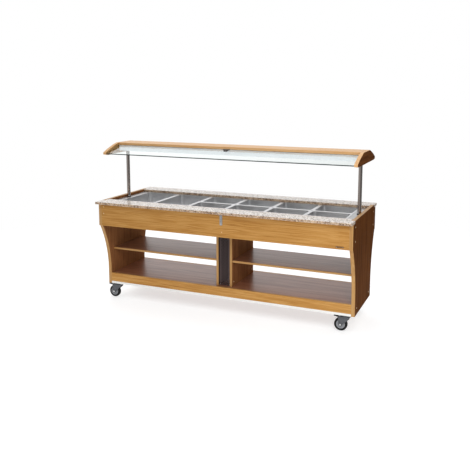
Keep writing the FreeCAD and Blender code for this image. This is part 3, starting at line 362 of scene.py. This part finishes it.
plasticLook = {"grain": 900.0, "clouds": 14.0, "wear": 0.25, "rough": 0.42, "bump": 0.12,
               "dark": tint(24, 24, 26), "bright": tint(40, 40, 42), "scuff": tint(86, 86, 88)}
skinLooks = {
    "blackPlastic": plasticLook,
    "redPlastic": dict(plasticLook, rough=0.3, dark=tint(150, 18, 16), bright=tint(186, 30, 24),
                       scuff=tint(214, 110, 96)),
    "greenPlastic": dict(plasticLook, rough=0.3, dark=tint(16, 112, 52), bright=tint(30, 146, 70),
                         scuff=tint(120, 190, 140)),
    "whitePlastic": dict(plasticLook, rough=0.36, dark=tint(216, 216, 210), bright=tint(234, 234, 230),
                         scuff=tint(190, 188, 180)),
    # painted light: the light box's white paint is given a faint glow, though the painted sheet is no lamp
    "whitePaint": dict(plasticLook, grain=500.0, clouds=5.0, wear=0.12, dark=tint(222, 228, 234),
                       bright=tint(240, 244, 248), scuff=tint(206, 208, 210),
                       extra={"Emission Color": tint(236, 240, 248), "Emission Strength": 0.22}),
    "opalSheet": dict(plasticLook, clouds=3.0, wear=0.1, rough=0.3, dark=tint(232, 236, 240),
                      bright=tint(246, 248, 250), scuff=tint(220, 222, 224),
                      extra={"Emission Color": tint(236, 242, 255), "Emission Strength": 0.55}),
    "lampGlass": dict(plasticLook, wear=0.1, rough=0.2, dark=tint(240, 242, 246), bright=tint(250, 250, 252),
                      scuff=tint(226, 226, 230),
                      extra={"Emission Color": tint(238, 244, 255), "Emission Strength": 1.2}),
    "grilleBlack": dict(plasticLook, rough=0.4, dark=tint(52, 38, 38), bright=tint(72, 53, 52)),
    # painted shade: a near-black, dull finish for the dividers' faces toward the middle bay, standing in for
    # the shade inside it
    "innerBlack": dict(plasticLook, wear=0.1, rough=0.6, dark=tint(8, 7, 8), bright=tint(14, 12, 13),
                       extra={"Specular IOR Level": 0.25}),
    "castorBlack": dict(plasticLook, rough=0.5, dark=tint(20, 20, 21), bright=tint(34, 34, 35)),
    "hubGrey": dict(plasticLook, dark=tint(126, 128, 132), bright=tint(156, 158, 162),
                    scuff=tint(160, 160, 162)),
    "tyreRubber": dict(plasticLook, grain=1400.0, wear=0.3, rough=0.66, bump=0.3, dark=tint(9, 9, 10),
                       bright=tint(20, 20, 21), scuff=tint(50, 48, 46), extra={"Specular IOR Level": 0.25}),
    "capCream": dict(plasticLook, rough=0.4, dark=tint(206, 176, 128), bright=tint(226, 200, 156),
                     scuff=tint(190, 160, 116)),
    "plateDark": dict(plasticLook, rough=0.4, dark=tint(92, 62, 30), bright=tint(120, 84, 44),
                      scuff=tint(150, 118, 76)),
    "markWhite": dict(plasticLook, rough=0.5, dark=tint(226, 226, 222), bright=tint(240, 240, 236),
                      scuff=tint(200, 200, 196)),
    "paneEdge": dict(plasticLook, grain=300.0, wear=0.12, rough=0.3, dark=tint(3, 20, 20),
                     bright=tint(10, 40, 39), scuff=tint(60, 100, 95), extra={"Specular IOR Level": 0.2}),
}
for name, look in skinLooks.items():
    skinFinish(name, look)


# Clear glass with a little haze

pane = {"hazeScale": 5.0, "deep": tint(244, 252, 250), "clear": tint(250, 254, 253), "rough": 0.01,
        "hazeRough": 0.02, "bend": 1.45}


def glassFinish(name):
    board = newFinish(name)
    haze = board.noise(board.place(), pane["hazeScale"], detail=4.0, rough=0.6)
    colour = board.mix(haze, pane["deep"], pane["clear"])
    board.surface({"Base Color": colour, "Roughness": pane["rough"] + haze * pane["hazeRough"],
                   "Transmission Weight": 1.0, "IOR": pane["bend"]})


glassFinish("clearPane")
print("finishes made:", len(finish))


# Every CAD node gets its finish

nodeFinish = {
    "oakAlong": ["front_apron", "back_apron"],
    "beechAlong": ["hood_top_board"],
    "walnutBoard": ["base_deck"],
    "brushedSteel": ["well_basin", "pan_bars", "slab_joint_brackets"],
    "clipSteel": ["glass_clips"],
    "panSteel": [name for name in nodes if "_pan_" in name],
    "postSteel": ["left_post", "right_post"],
    "frameZinc": ["base_frame"],
    "plateSteel": ["control_panel"],
    "elementSheath": ["heating_elements"],
    "brassFitting": ["drain_cock"],
    "zincPlate": ["castor_plates"] + [name for name in nodes if name.endswith("_fork")],
    "grilleBlack": ["front_grille"],
    "blackPlastic": ["thermostat", "thermostat_knob", "switch_housings", "drain_lever", "cable_gland"],
    "redPlastic": ["heat_rocker"],
    "greenPlastic": ["light_rocker"],
    "whitePlastic": ["lamp_holders"],
    "whitePaint": ["light_box"],
    "opalSheet": ["light_diffuser"],
    "lampGlass": ["lamp_tubes"],
    "castorBlack": [name for name in nodes if name.endswith("_brake_pedal")],
}
for look, names in nodeFinish.items():
    for name in names:
        nodes[name].data.materials.clear()
        nodes[name].data.materials.append(finish[look])


# Mesh tools

def newPiece(name, bm, looks, body, smooth=30):
    mesh = bpy.data.meshes.new(name)
    bm.to_mesh(mesh)
    bm.free()
    for look in looks:
        mesh.materials.append(finish[look])
    mesh.polygons.foreach_set("use_smooth", [True] * len(mesh.polygons))
    mesh.set_sharp_from_angle(angle=math.radians(smooth))
    piece = bpy.data.objects.new(name, mesh)
    bpy.context.scene.collection.objects.link(piece)
    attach(piece, body)
    return piece


def bodyOf(node):
    return nodes[node]["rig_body"]


# Boards: copies with eased arrises. Looks are for the broad faces, the edges and, where it differs, the
# broad face that is turned to the cart's middle

easing = {"mergeWithin": 0.01 * mm, "flatWithin": 0.4, "sharpFrom": 25, "span": 0.9, "facing": 0.8,
          "segments": 3, "smooth": 40}
boards = [
    # side panels: outer faces dark walnut, partly painted shade; the face toward the middle takes the lighter
    # copy, painted light
    {"nodes": ["left_side_panel", "right_side_panel"], "slot": "walnut_laminate", "axis": 0,
     "ease": 1.5 * mm, "looks": ["walnutUpright", "edgeUpright", "walnutInner"]},
    # dividers: broad faces take the lighter walnut copy, painted light; the face toward the middle bay is
    # near-black, painted shade
    {"nodes": ["left_divider", "right_divider"], "slot": "walnut_laminate", "axis": 0,
     "ease": 1.0 * mm, "looks": ["walnutInner", "edgeUpright", "innerBlack"]},
    {"nodes": ["left_shelf", "right_shelf"], "slot": "walnut_laminate", "axis": 2,
     "ease": 0.6 * mm, "looks": ["walnutBoard", "edgeAlong"]},
    # gables: dark broad faces, partly painted shade; edges and the face toward the middle in beech
    {"nodes": ["hood_left_end", "hood_right_end"], "slot": "beech", "axis": 0,
     "ease": 3.0 * mm, "looks": ["walnutGable", "edgeAcross", "gableInner"]},
    {"nodes": ["base_skirts"], "slot": "oak_laminate", "axis": 1,
     "ease": 1.2 * mm, "looks": ["oakAlong", "edgeAlong"]},
    {"nodes": ["front_slabs", "back_slabs"], "slot": "granite", "axis": 2,
     "ease": 1.0 * mm, "looks": ["polishedGranite", "graniteEdgePaintedShade"]},
    {"nodes": ["front_glass", "back_glass"], "slot": "clear_glass", "axis": 2,
     "ease": 0.6 * mm, "looks": ["clearPane", "paneEdge"]},
]


def mergedCopy(node):
    bm = bmesh.new()
    bm.from_mesh(nodes[node].data)
    bmesh.ops.remove_doubles(bm, verts=bm.verts, dist=easing["mergeWithin"])
    flat = math.radians(easing["flatWithin"])
    bmesh.ops.dissolve_limit(bm, angle_limit=flat, verts=bm.verts, edges=bm.edges)
    return bm


def spans(face, axis, thickness):
    along = [vert.co[axis] for vert in face.verts]
    return max(along) - min(along) > easing["span"] * thickness


def easedBoard(node, plank):
    axis = plank["axis"]
    bm = mergedCopy(node)
    low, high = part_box(node)
    inward = -1 if low[axis] + high[axis] > 0 else 1
    thickness = high[axis] - low[axis]
    sharp = []
    for edge in bm.edges:
        if len(edge.link_faces) != 2 or edge.calc_face_angle(0) < math.radians(easing["sharpFrom"]):
            continue
        if any(spans(face, axis, thickness) for face in edge.link_faces):
            sharp.append(edge)
    bmesh.ops.bevel(bm, geom=sharp, offset=plank["ease"], offset_type="OFFSET", affect="EDGES",
                    segments=easing["segments"], profile=0.5, material=-1, clamp_overlap=True)
    bmesh.ops.recalc_face_normals(bm, faces=bm.faces)
    for face in bm.faces:
        face.material_index = 0 if abs(face.normal[axis]) > easing["facing"] else 1
        if len(plank["looks"]) > 2 and face.normal[axis] * inward > easing["facing"]:
            face.material_index = 2
    piece = newPiece(node + "_eased", bm, plank["looks"], bodyOf(node), easing["smooth"])
    weigh = piece.modifiers.new("evenShading", "WEIGHTED_NORMAL")
    weigh.keep_sharp = True
    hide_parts(node)


for plank in boards:
    for node in plank["nodes"]:
        easedBoard(node, plank)
print("boards eased:", sum(len(plank["nodes"]) for plank in boards))


# Shapes for the small pieces: outlines spun about an axis, and blocks with eased edges

weldWithin = 0.001 * mm


def spun(bm, outline, origin, axis, steps=24, index=0):
    along = Vector(axis).normalized()
    side = along.orthogonal().normalized()
    origin = Vector(origin)
    verts = [bm.verts.new(origin + side * radius + along * height) for radius, height in outline]
    edges = [bm.edges.new(pair) for pair in zip(verts, verts[1:])]
    known = set(bm.faces)
    bmesh.ops.spin(bm, geom=verts + edges, cent=origin, axis=along, angle=2 * math.pi, steps=steps,
                   use_merge=True, use_duplicate=False)
    for face in bm.faces:
        if face not in known:
            face.material_index = index


def rounded(bm, low, high, ease, index=0, segments=2, turn=None):
    low = Vector(low)
    high = Vector(high)
    known = set(bm.faces)
    made = bmesh.ops.create_cube(bm, size=1.0)["verts"]
    for vert in made:
        vert.co = (low + high) / 2 + Vector(a * b for a, b in zip(vert.co, high - low))
    edges = list({edge for vert in made for edge in vert.link_edges})
    bmesh.ops.bevel(bm, geom=edges, offset=ease, offset_type="OFFSET", affect="EDGES", segments=segments,
                    profile=0.5, material=-1)
    fresh = [face for face in bm.faces if face not in known]
    for face in fresh:
        face.material_index = index
    if turn:
        verts = list({vert for face in fresh for vert in face.verts})
        bmesh.ops.transform(bm, matrix=turn, verts=verts)


def closed(bm):
    bmesh.ops.remove_doubles(bm, verts=bm.verts, dist=weldWithin)
    bmesh.ops.recalc_face_normals(bm, faces=bm.faces)
    return bm


def arcPoints(middle, radius, start, end, count):
    # points of an arc in the (radius, height) plane of an outline, angles in degrees
    points = []
    for step in range(count + 1):
        angle = math.radians(start + (end - start) * step / count)
        points.append((middle[0] + radius * math.cos(angle), middle[1] + radius * math.sin(angle)))
    return points


# Heads of fixings, as shares of their radius and height: a domed screw with a round socket, and a bolt or
# nut with six flats and a chamfered top on a washer

screwProfile = [(0, 0.35), (0.36, 0.35), (0.4, 0.5), (0.4, 1), (0.7, 0.95), (0.92, 0.65), (1, 0.25), (1, 0),
                (0, 0)]
washerProfile = [(0, 0), (1.12, 0), (1.12, 0.18), (0, 0.18)]
hexProfile = [(0, 0.18), (1, 0.18), (1, 0.86), (0.86, 1), (0, 1)]
headSteps = {"screw": 20, "washer": 24, "hex": 6}


def spunHead(bm, profile, place, axis, radius, height, steps, index=0):
    outline = [(radius * across, height * up) for across, up in profile]
    spun(bm, outline, place, axis, steps, index)


def screwHead(bm, place, axis, radius, height, index=0):
    spunHead(bm, screwProfile, place, axis, radius, height, headSteps["screw"], index)


def hexHead(bm, place, axis, radius, height):
    spunHead(bm, washerProfile, place, axis, radius, height, headSteps["washer"])
    spunHead(bm, hexProfile, place, axis, radius, height, headSteps["hex"])


# Cover caps that sit flush in the recesses of the side panels

caps = {"spreadHigh": 632 * mm, "drop": 51 * mm, "pitch": 106 * mm, "spreadLow": 416 * mm, "rise": 50 * mm,
        "radius": 6.3 * mm, "recess": 1.5 * mm, "crown": 0.5 * mm,
        "dome": [(0, 0), (0.6, 0.3), (0.85, 0.65), (1, 1)]}


def panelCaps(node, side):
    low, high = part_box(node)
    face = high.x if side > 0 else low.x
    top = high.z - caps["drop"]
    rows = [(caps["spreadHigh"], top), (caps["spreadHigh"], top - caps["pitch"]),
            (caps["spreadLow"], low.z + caps["rise"])]
    outline = [(caps["radius"] * across, -caps["crown"] * down) for across, down in caps["dome"]]
    outline += [(caps["radius"], -caps["recess"]), (0, -caps["recess"])]
    bm = bmesh.new()
    for spread, z in rows:
        for end in (-1, 1):
            spun(bm, outline, (face, end * spread / 2, z), (side, 0, 0))
    newPiece(node + "_caps", closed(bm), ["capCream"], bodyOf(node))


panelCaps("left_side_panel", -1)
panelCaps("right_side_panel", 1)


# Fixings on the aprons, dividers, grille, control panel and joint brackets

fixings = {"apronEnd": 19 * mm, "apronDrop": 23 * mm, "apronPitch": 57 * mm, "apronRadius": 5.0 * mm,
           "jointDrop": 53 * mm, "jointShift": 5 * mm, "jointRadius": 4.0 * mm, "dividerRise": 34 * mm,
           "dividerBack": 36 * mm, "dividerRadius": 5.5 * mm, "sheetInset": 7.5 * mm, "sheetRadius": 3.2 * mm,
           "bracketSheet": 3 * mm, "bracketRadius": 4.6 * mm, "bracketRise": 11 * mm, "bracketPitch": 50 * mm,
           "height": 1.6 * mm, "rows": 2}
apronSides = (("front_apron", -1), ("back_apron", 1))


def apronFixings():
    bm = bmesh.new()
    jointLow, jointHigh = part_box("slab_joint_brackets")
    middle = (jointLow.x + jointHigh.x) / 2 + fixings["jointShift"]
    for node, side in apronSides:
        low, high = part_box(node)
        face = low.y if side < 0 else high.y
        end = low.x + fixings["apronEnd"] if side < 0 else high.x - fixings["apronEnd"]
        for row in range(fixings["rows"]):
            z = high.z - fixings["apronDrop"] - row * fixings["apronPitch"]
            screwHead(bm, (end, face, z), (0, side, 0), fixings["apronRadius"], fixings["height"])
        z = jointLow.z - fixings["jointDrop"]
        screwHead(bm, (middle, face, z), (0, side, 0), fixings["jointRadius"], fixings["height"])
    newPiece("apron_fixings", closed(bm), ["capCream"], "carcass")


def dividerFixings():
    bm = bmesh.new()
    for node, side in (("left_divider", -1), ("right_divider", 1)):
        low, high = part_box(node)
        face = high.x if side > 0 else low.x
        z = low.z + fixings["dividerRise"]
        for y in (low.y + fixings["dividerBack"], high.y - fixings["dividerBack"]):
            screwHead(bm, (face, y, z), (side, 0, 0), fixings["dividerRadius"], fixings["height"])
    newPiece("divider_fixings", closed(bm), ["capCream"], "carcass")


def sheetFixings():
    bm = bmesh.new()
    inset = fixings["sheetInset"]
    for node, side in (("front_grille", -1), ("control_panel", 1)):
        low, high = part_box(node)
        face = low.y if side < 0 else high.y
        for x in (low.x + inset, high.x - inset):
            for z in (low.z + inset, high.z - inset):
                screwHead(bm, (x, face, z), (0, side, 0), fixings["sheetRadius"], fixings["height"])
    newPiece("sheet_fixings", closed(bm), ["boltSteel"], "carcass")


def bracketFixings():
    bm = bmesh.new()
    low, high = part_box("slab_joint_brackets")
    x = (low.x + high.x) / 2
    for node, side in apronSides:
        apronLow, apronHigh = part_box(node)
        face = apronLow.y if side < 0 else apronHigh.y
        y = face + side * fixings["bracketSheet"]
        for row in range(fixings["rows"]):
            z = low.z + fixings["bracketRise"] + row * fixings["bracketPitch"]
            screwHead(bm, (x, y, z), (0, side, 0), fixings["bracketRadius"], fixings["height"])
    newPiece("bracket_fixings", closed(bm), ["boltSteel"], "carcass")


apronFixings()
dividerFixings()
sheetFixings()
bracketFixings()


# Bare plate near the right end of the front apron

barePlate = {"fromEnd": 97 * mm, "length": 60 * mm, "height": 13 * mm, "rise": 11 * mm, "sheet": 0.8 * mm,
             "ease": 0.32 * mm, "rivet": 1.6 * mm, "rivetInset": 6.4 * mm, "rivetHeight": 0.96 * mm}


def makeBarePlate():
    low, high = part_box("front_apron")
    left = high.x - barePlate["fromEnd"]
    right = left + barePlate["length"]
    bottom = low.z + barePlate["rise"]
    top = bottom + barePlate["height"]
    face = low.y - barePlate["sheet"]
    bm = bmesh.new()
    rounded(bm, (left, face, bottom), (right, low.y, top), barePlate["ease"])
    for x in (left + barePlate["rivetInset"], right - barePlate["rivetInset"]):
        screwHead(bm, (x, face, (bottom + top) / 2), (0, -1, 0), barePlate["rivet"],
                  barePlate["rivetHeight"], 1)
    newPiece("bare_plate", closed(bm), ["plateDark", "boltSteel"], "carcass")


makeBarePlate()


# Rubber collars where the posts come up through the steel ledge

collar = {"inner": 15 * mm, "radius": 17.2 * mm, "height": 7 * mm, "lip": 2 * mm, "ease": 0.8 * mm,
          "steps": 32}


def makeCollars():
    bm = bmesh.new()
    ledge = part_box("well_basin")[1].z
    outline = [(collar["inner"], 0), (collar["radius"], 0),
               (collar["radius"], collar["height"] - collar["lip"]),
               (collar["radius"] - collar["ease"], collar["height"] - collar["ease"]),
               (collar["inner"], collar["height"]), (collar["inner"], 0)]
    for node in ("left_post", "right_post"):
        low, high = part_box(node)
        middle = (low + high) / 2
        spun(bm, outline, (middle.x, middle.y, ledge), axisZ, collar["steps"])
    newPiece("post_collars", closed(bm), ["blackPlastic"], "carcass")


makeCollars()


# Dial, switch marks and the knob's pointer, read from behind the cart

dial = {"inner": 23.5 * mm, "outer": 27.5 * mm, "numbers": 33 * mm, "text": 7.0 * mm, "line": 0.9 * mm,
        "lift": 0.15 * mm, "ease": 0.045 * mm, "steps": 10, "turn": 30.0, "switchGap": 6 * mm,
        "switchText": 7 * mm}
pointer = {"half": 0.8 * mm, "from": 3 * mm, "to": 12 * mm, "proud": 0.3 * mm, "ease": 0.15 * mm}
towardsBack = Matrix(((-1, 0, 0, 0), (0, 0, 1, 0), (0, 1, 0, 0), (0, 0, 0, 1)))


def flatText(bm, body, size, place):
    # letters as a thin mesh on the control panel
    curve = bpy.data.curves.new("mark", "FONT")
    curve.body = body
    curve.size = size
    curve.align_x = "CENTER"
    curve.align_y = "CENTER"
    curve.extrude = dial["lift"] / 2
    holder = bpy.data.objects.new("mark", curve)
    bpy.context.scene.collection.objects.link(holder)
    bpy.context.view_layer.update()
    graph = bpy.context.evaluated_depsgraph_get()
    mesh = bpy.data.meshes.new_from_object(holder.evaluated_get(graph))
    mesh.transform(Matrix.Translation(place) @ towardsBack)
    bm.from_mesh(mesh)
    bpy.data.objects.remove(holder)
    bpy.data.meshes.remove(mesh)
    bpy.data.curves.remove(curve)


def makeDial():
    centre = Vector(joints["thermostat_turn"]["pos_m"])
    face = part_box("control_panel")[1].y
    textFace = face + dial["lift"] / 2
    low = (-dial["line"] / 2, face - centre.y, dial["inner"])
    high = (dial["line"] / 2, face - centre.y + dial["lift"], dial["outer"])
    bm = bmesh.new()
    for step in range(dial["steps"]):
        angle = math.radians(step * dial["turn"])
        turn = Matrix.Translation(centre) @ Matrix.Rotation(-angle, 4, "Y")
        rounded(bm, low, high, dial["ease"], segments=1, turn=turn)
        spot = centre + Vector((-math.sin(angle), 0, math.cos(angle))) * dial["numbers"]
        flatText(bm, str(step), dial["text"], Vector((spot.x, textFace, spot.z)))
    low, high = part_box("switch_housings")
    for rocker in ("heat_rocker", "light_rocker"):
        rockerLow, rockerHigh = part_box(rocker)
        middle = (rockerLow.x + rockerHigh.x) / 2
        for mark, z in (("I", high.z + dial["switchGap"]), ("O", low.z - dial["switchGap"])):
            flatText(bm, mark, dial["switchText"], Vector((middle, textFace, z)))
    newPiece("dial_marks", closed(bm), ["blackPlastic"], "carcass")


def makePointer():
    low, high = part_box("thermostat_knob")
    z = (low.z + high.z) / 2
    bm = bmesh.new()
    rounded(bm, (-pointer["half"], high.y - pointer["proud"], z + pointer["from"]),
            (pointer["half"], high.y + pointer["proud"], z + pointer["to"]), pointer["ease"])
    newPiece("knob_pointer", closed(bm), ["markWhite"], "thermostat_knob")


makeDial()
makePointer()
print("fixings, plate, collars and dial made")


# Wheels: rubber tyre with two grooves on a ribbed grey hub

wheel = {"radius": 50 * mm, "seat": 33 * mm, "half": 14 * mm, "seatHalf": 12.5 * mm, "flank": 36 * mm,
         "round": 6 * mm, "roundSteps": 5, "groove": 0.7 * mm, "grooveAt": 4 * mm, "boss": 12 * mm,
         "bossHalf": 16.3 * mm, "web": 6 * mm, "bore": 6 * mm, "rimInner": 28.5 * mm, "seatGap": 0.05 * mm,
         "chamfer": 1 * mm, "ribs": 6, "ribHalf": 1.6 * mm, "ribTop": 11 * mm, "ribSink": 0.5 * mm,
         "ribEase": 0.8 * mm, "tyreSteps": 72, "hubSteps": 48, "smooth": 35}


def tyreOutline():
    crown = wheel["radius"]
    bend = wheel["round"]
    half = wheel["half"]
    groove = wheel["groove"]
    outline = [(wheel["seat"], -wheel["seatHalf"]), (wheel["flank"], -half)]
    outline += arcPoints((crown - bend, bend - half), bend, -90, 0, wheel["roundSteps"])
    for at in (-wheel["grooveAt"], wheel["grooveAt"]):
        outline += [(crown, at - groove), (crown - groove, at - groove / 2),
                    (crown - groove, at + groove / 2), (crown, at + groove)]
    outline += arcPoints((crown - bend, half - bend), bend, 0, 90, wheel["roundSteps"])
    outline += [(wheel["flank"], half), (wheel["seat"], wheel["seatHalf"])]
    return outline + outline[:1]


def hubOutline():
    boss = wheel["boss"]
    rim = wheel["rimInner"]
    web = wheel["web"]
    cut = wheel["chamfer"]
    half = [(wheel["bore"], wheel["bossHalf"]), (boss - cut, wheel["bossHalf"]),
            (boss, wheel["bossHalf"] - cut), (boss + cut, web + cut), (boss + 2 * cut, web),
            (rim - 2 * cut, web), (rim, wheel["seatHalf"] - cut), (rim + cut, wheel["seatHalf"]),
            (wheel["seat"] - wheel["seatGap"], wheel["seatHalf"])]
    return half + [(radius, -height) for radius, height in reversed(half)] + half[:1]


def makeWheel(corner):
    node = corner + "_wheel"
    centre = Vector(joints[corner + "_roll"]["pos_m"])
    bm = bmesh.new()
    spun(bm, tyreOutline(), centre, axisY, wheel["tyreSteps"], 0)
    spun(bm, hubOutline(), centre, axisY, wheel["hubSteps"], 1)
    inner = wheel["boss"]
    outer = wheel["rimInner"] + wheel["ribSink"]
    for side in (-1, 1):
        ends = sorted((side * (wheel["web"] - wheel["ribSink"]), side * wheel["ribTop"]))
        for rib in range(wheel["ribs"]):
            turn = Matrix.Translation(centre) @ Matrix.Rotation(2 * math.pi * rib / wheel["ribs"], 4, "Y")
            rounded(bm, (inner, ends[0], -wheel["ribHalf"]), (outer, ends[1], wheel["ribHalf"]),
                    wheel["ribEase"], 1, turn=turn)
    piece = newPiece(node + "_dressed", closed(bm), ["tyreRubber", "hubGrey"], node, wheel["smooth"])
    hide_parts(node)


# Castor fittings: plate bolts, axle nuts and ribs on the pedals

castor = {"boltX": 40 * mm, "boltY": 24 * mm, "boltRadius": 5.2 * mm, "boltHeight": 4.6 * mm,
          "plate": 3.5 * mm, "nutRadius": 6.2 * mm, "nutHeight": 3.2 * mm}
pedal = {"ribs": 4, "pitch": 5 * mm, "from": 4.5 * mm, "half": 0.9 * mm, "height": 1.1 * mm, "sink": 0.6 * mm,
         "inset": 3 * mm, "ease": 0.4 * mm, "slope": 9 / 46}


def makeCastorFittings(corners):
    bolts = bmesh.new()
    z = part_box("castor_plates")[1].z - castor["plate"]
    for corner in corners:
        swivel = Vector(joints[corner + "_swivel"]["pos_m"])
        for x in (swivel.x - castor["boltX"], swivel.x + castor["boltX"]):
            for y in (swivel.y - castor["boltY"], swivel.y + castor["boltY"]):
                hexHead(bolts, (x, y, z), (0, 0, -1), castor["boltRadius"], castor["boltHeight"])
        fork = corner + "_fork"
        low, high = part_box(fork)
        centre = Vector(joints[corner + "_roll"]["pos_m"])
        nuts = bmesh.new()
        for side, face in ((-1, low.y), (1, high.y)):
            place = (centre.x, face, centre.z)
            hexHead(nuts, place, (0, side, 0), castor["nutRadius"], castor["nutHeight"])
        newPiece(fork + "_nuts", closed(nuts), ["boltSteel"], fork)
    newPiece("castor_plate_bolts", closed(bolts), ["boltSteel"], "carcass")


def makePedalRibs(corner):
    node = corner + "_brake_pedal"
    low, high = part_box(node)
    bm = bmesh.new()
    for rib in range(pedal["ribs"]):
        x = low.x + pedal["from"] + rib * pedal["pitch"]
        top = high.z - (x - low.x) * pedal["slope"]
        rounded(bm, (x - pedal["half"], low.y + pedal["inset"], top - pedal["sink"]),
                (x + pedal["half"], high.y - pedal["inset"], top + pedal["height"]), pedal["ease"])
    newPiece(node + "_ribs", closed(bm), ["castorBlack"], node)


corners = ["front_left", "front_right", "back_left", "back_right"]
for corner in corners:
    makeWheel(corner)
makeCastorFittings(corners)
makePedalRibs("front_left")
makePedalRibs("front_right")
print("castors dressed")


# Stage: a pale floor that fades into white, soft light from the front, and a white backdrop

stage = {"floor": 6.0, "paper": tint(250, 250, 250), "shade": tint(188, 188, 189),
         "mottle": tint(194, 194, 194), "mottleScale": 3.0, "rough": 0.7, "mottleRough": 0.1,
         "fadeFrom": 1.9, "fadeTo": 4.2, "glow": 0.6}


def makeFloor():
    bm = bmesh.new()
    bmesh.ops.create_grid(bm, x_segments=1, y_segments=1, size=stage["floor"])
    mesh = bpy.data.meshes.new("paperFloor")
    bm.to_mesh(mesh)
    bm.free()
    board = newFinish("palePaper")
    mottle = board.noise(board.place(), stage["mottleScale"], detail=3.0)
    colour = board.mix(mottle, stage["shade"], stage["mottle"])
    spot = board.node("TexCoord", output="Object")
    away = board.node("VectorMath", {"operation": "LENGTH"}, {0: spot}, "Value")
    fade = board.step(away, stage["fadeTo"], stage["fadeFrom"])
    board.surface({"Base Color": colour, "Roughness": stage["rough"] + mottle * stage["mottleRough"],
                   "Alpha": fade, "Emission Color": stage["paper"], "Emission Strength": stage["glow"]})
    mesh.materials.append(finish["palePaper"])
    floor = bpy.data.objects.new("paperFloor", mesh)
    bpy.context.scene.collection.objects.link(floor)


# each side: its axis, and where along it the glow starts and is full
studio = {"left": (0, 0.6, -0.6), "back": (1, 0.1, 0.9), "front": (1, -0.3, -0.95), "top": (2, 0.0, 0.9),
          "base": 0.14, "leftGlow": 0.26, "topGlow": 0.6, "backGlow": 0.6, "frontGlow": 0.06}


def makeWorld():
    world = bpy.data.worlds.new("studio")
    world.use_nodes = True
    bpy.context.scene.world = world
    board = NodeBoard(world.node_tree)
    spot = board.node("TexCoord", output="Generated")

    def towards(side):
        axis, start, full = studio[side]
        return board.step(board.node("SeparateXYZ", {}, {"Vector": spot}, axis), start, full)

    left = towards("left")
    glow = studio["base"] + left * studio["leftGlow"] + towards("top") * studio["topGlow"]
    glow = glow + towards("back") * left * studio["backGlow"] + towards("front") * studio["frontGlow"]
    seen = board.node("LightPath", output="Is Camera Ray")
    soft = board.node("Background", {}, {"Color": (1, 1, 1, 1), "Strength": glow})
    white = board.node("Background", {}, {"Color": (1, 1, 1, 1), "Strength": 1.0})
    both = board.node("MixShader", {}, {0: seen, 1: soft, 2: white})
    board.node("OutputWorld", {}, {"Surface": both})


lamps = {
    "keyLight": {"at": (2.0, -2.4, 2.4), "aim": (0.5, 0, 0.6), "size": 1.4, "power": 31.0, "shines": True},
    "fillLight": {"at": (2.2, -3.6, 0.9), "aim": (0.2, 0, 0.4), "size": 1.4, "power": 34.0, "shines": False},
    "topLight": {"at": (-0.4, -0.8, 5.0), "aim": (0, 0, 0.6), "size": 3.0, "power": 40.0, "shines": True},
    "backLight": {"at": (-2.2, 4.2, 2.6), "aim": (0, 0, 0.6), "size": 2.6, "power": 60.0, "shines": False},
}


def makeLamp(name, lamp):
    light = bpy.data.lights.new(name, "AREA")
    light.size = lamp["size"]
    light.energy = lamp["power"]
    holder = bpy.data.objects.new(name, light)
    holder.visible_glossy = lamp["shines"]
    holder.visible_transmission = False  # no lamp is seen through the panes
    holder.location = lamp["at"]
    beam = Vector(lamp["aim"]) - Vector(lamp["at"])
    holder.rotation_euler = beam.to_track_quat("-Z", "Y").to_euler()
    bpy.context.scene.collection.objects.link(holder)


# the photograph's viewpoint, with its focal length and middle row in pixels
camera = {"at": (2.0497, -4.7719, 1.8161), "yaw": 0.40634, "pitch": 0.14682, "focal": 642.45,
          "image": 470.0, "middleRow": 180.0, "sensor": 36.0, "reach": 100.0}


def makeCamera():
    lens = bpy.data.cameras.new("photoCamera")
    lens.sensor_width = camera["sensor"]
    lens.lens = camera["focal"] * camera["sensor"] / camera["image"]
    lens.shift_y = (camera["middleRow"] - camera["image"] / 2) / camera["image"]
    lens.clip_end = camera["reach"]
    holder = bpy.data.objects.new("photoCamera", lens)
    holder.location = camera["at"]
    level = math.cos(camera["pitch"])
    ahead = Vector((-math.sin(camera["yaw"]) * level, math.cos(camera["yaw"]) * level,
                    -math.sin(camera["pitch"])))
    holder.rotation_euler = ahead.to_track_quat("-Z", "Y").to_euler()
    bpy.context.scene.collection.objects.link(holder)
    bpy.context.scene.camera = holder


makeFloor()
makeWorld()
for name, lamp in lamps.items():
    makeLamp(name, lamp)
makeCamera()
bpy.context.scene.view_settings.view_transform = "Standard"
print("stage set")
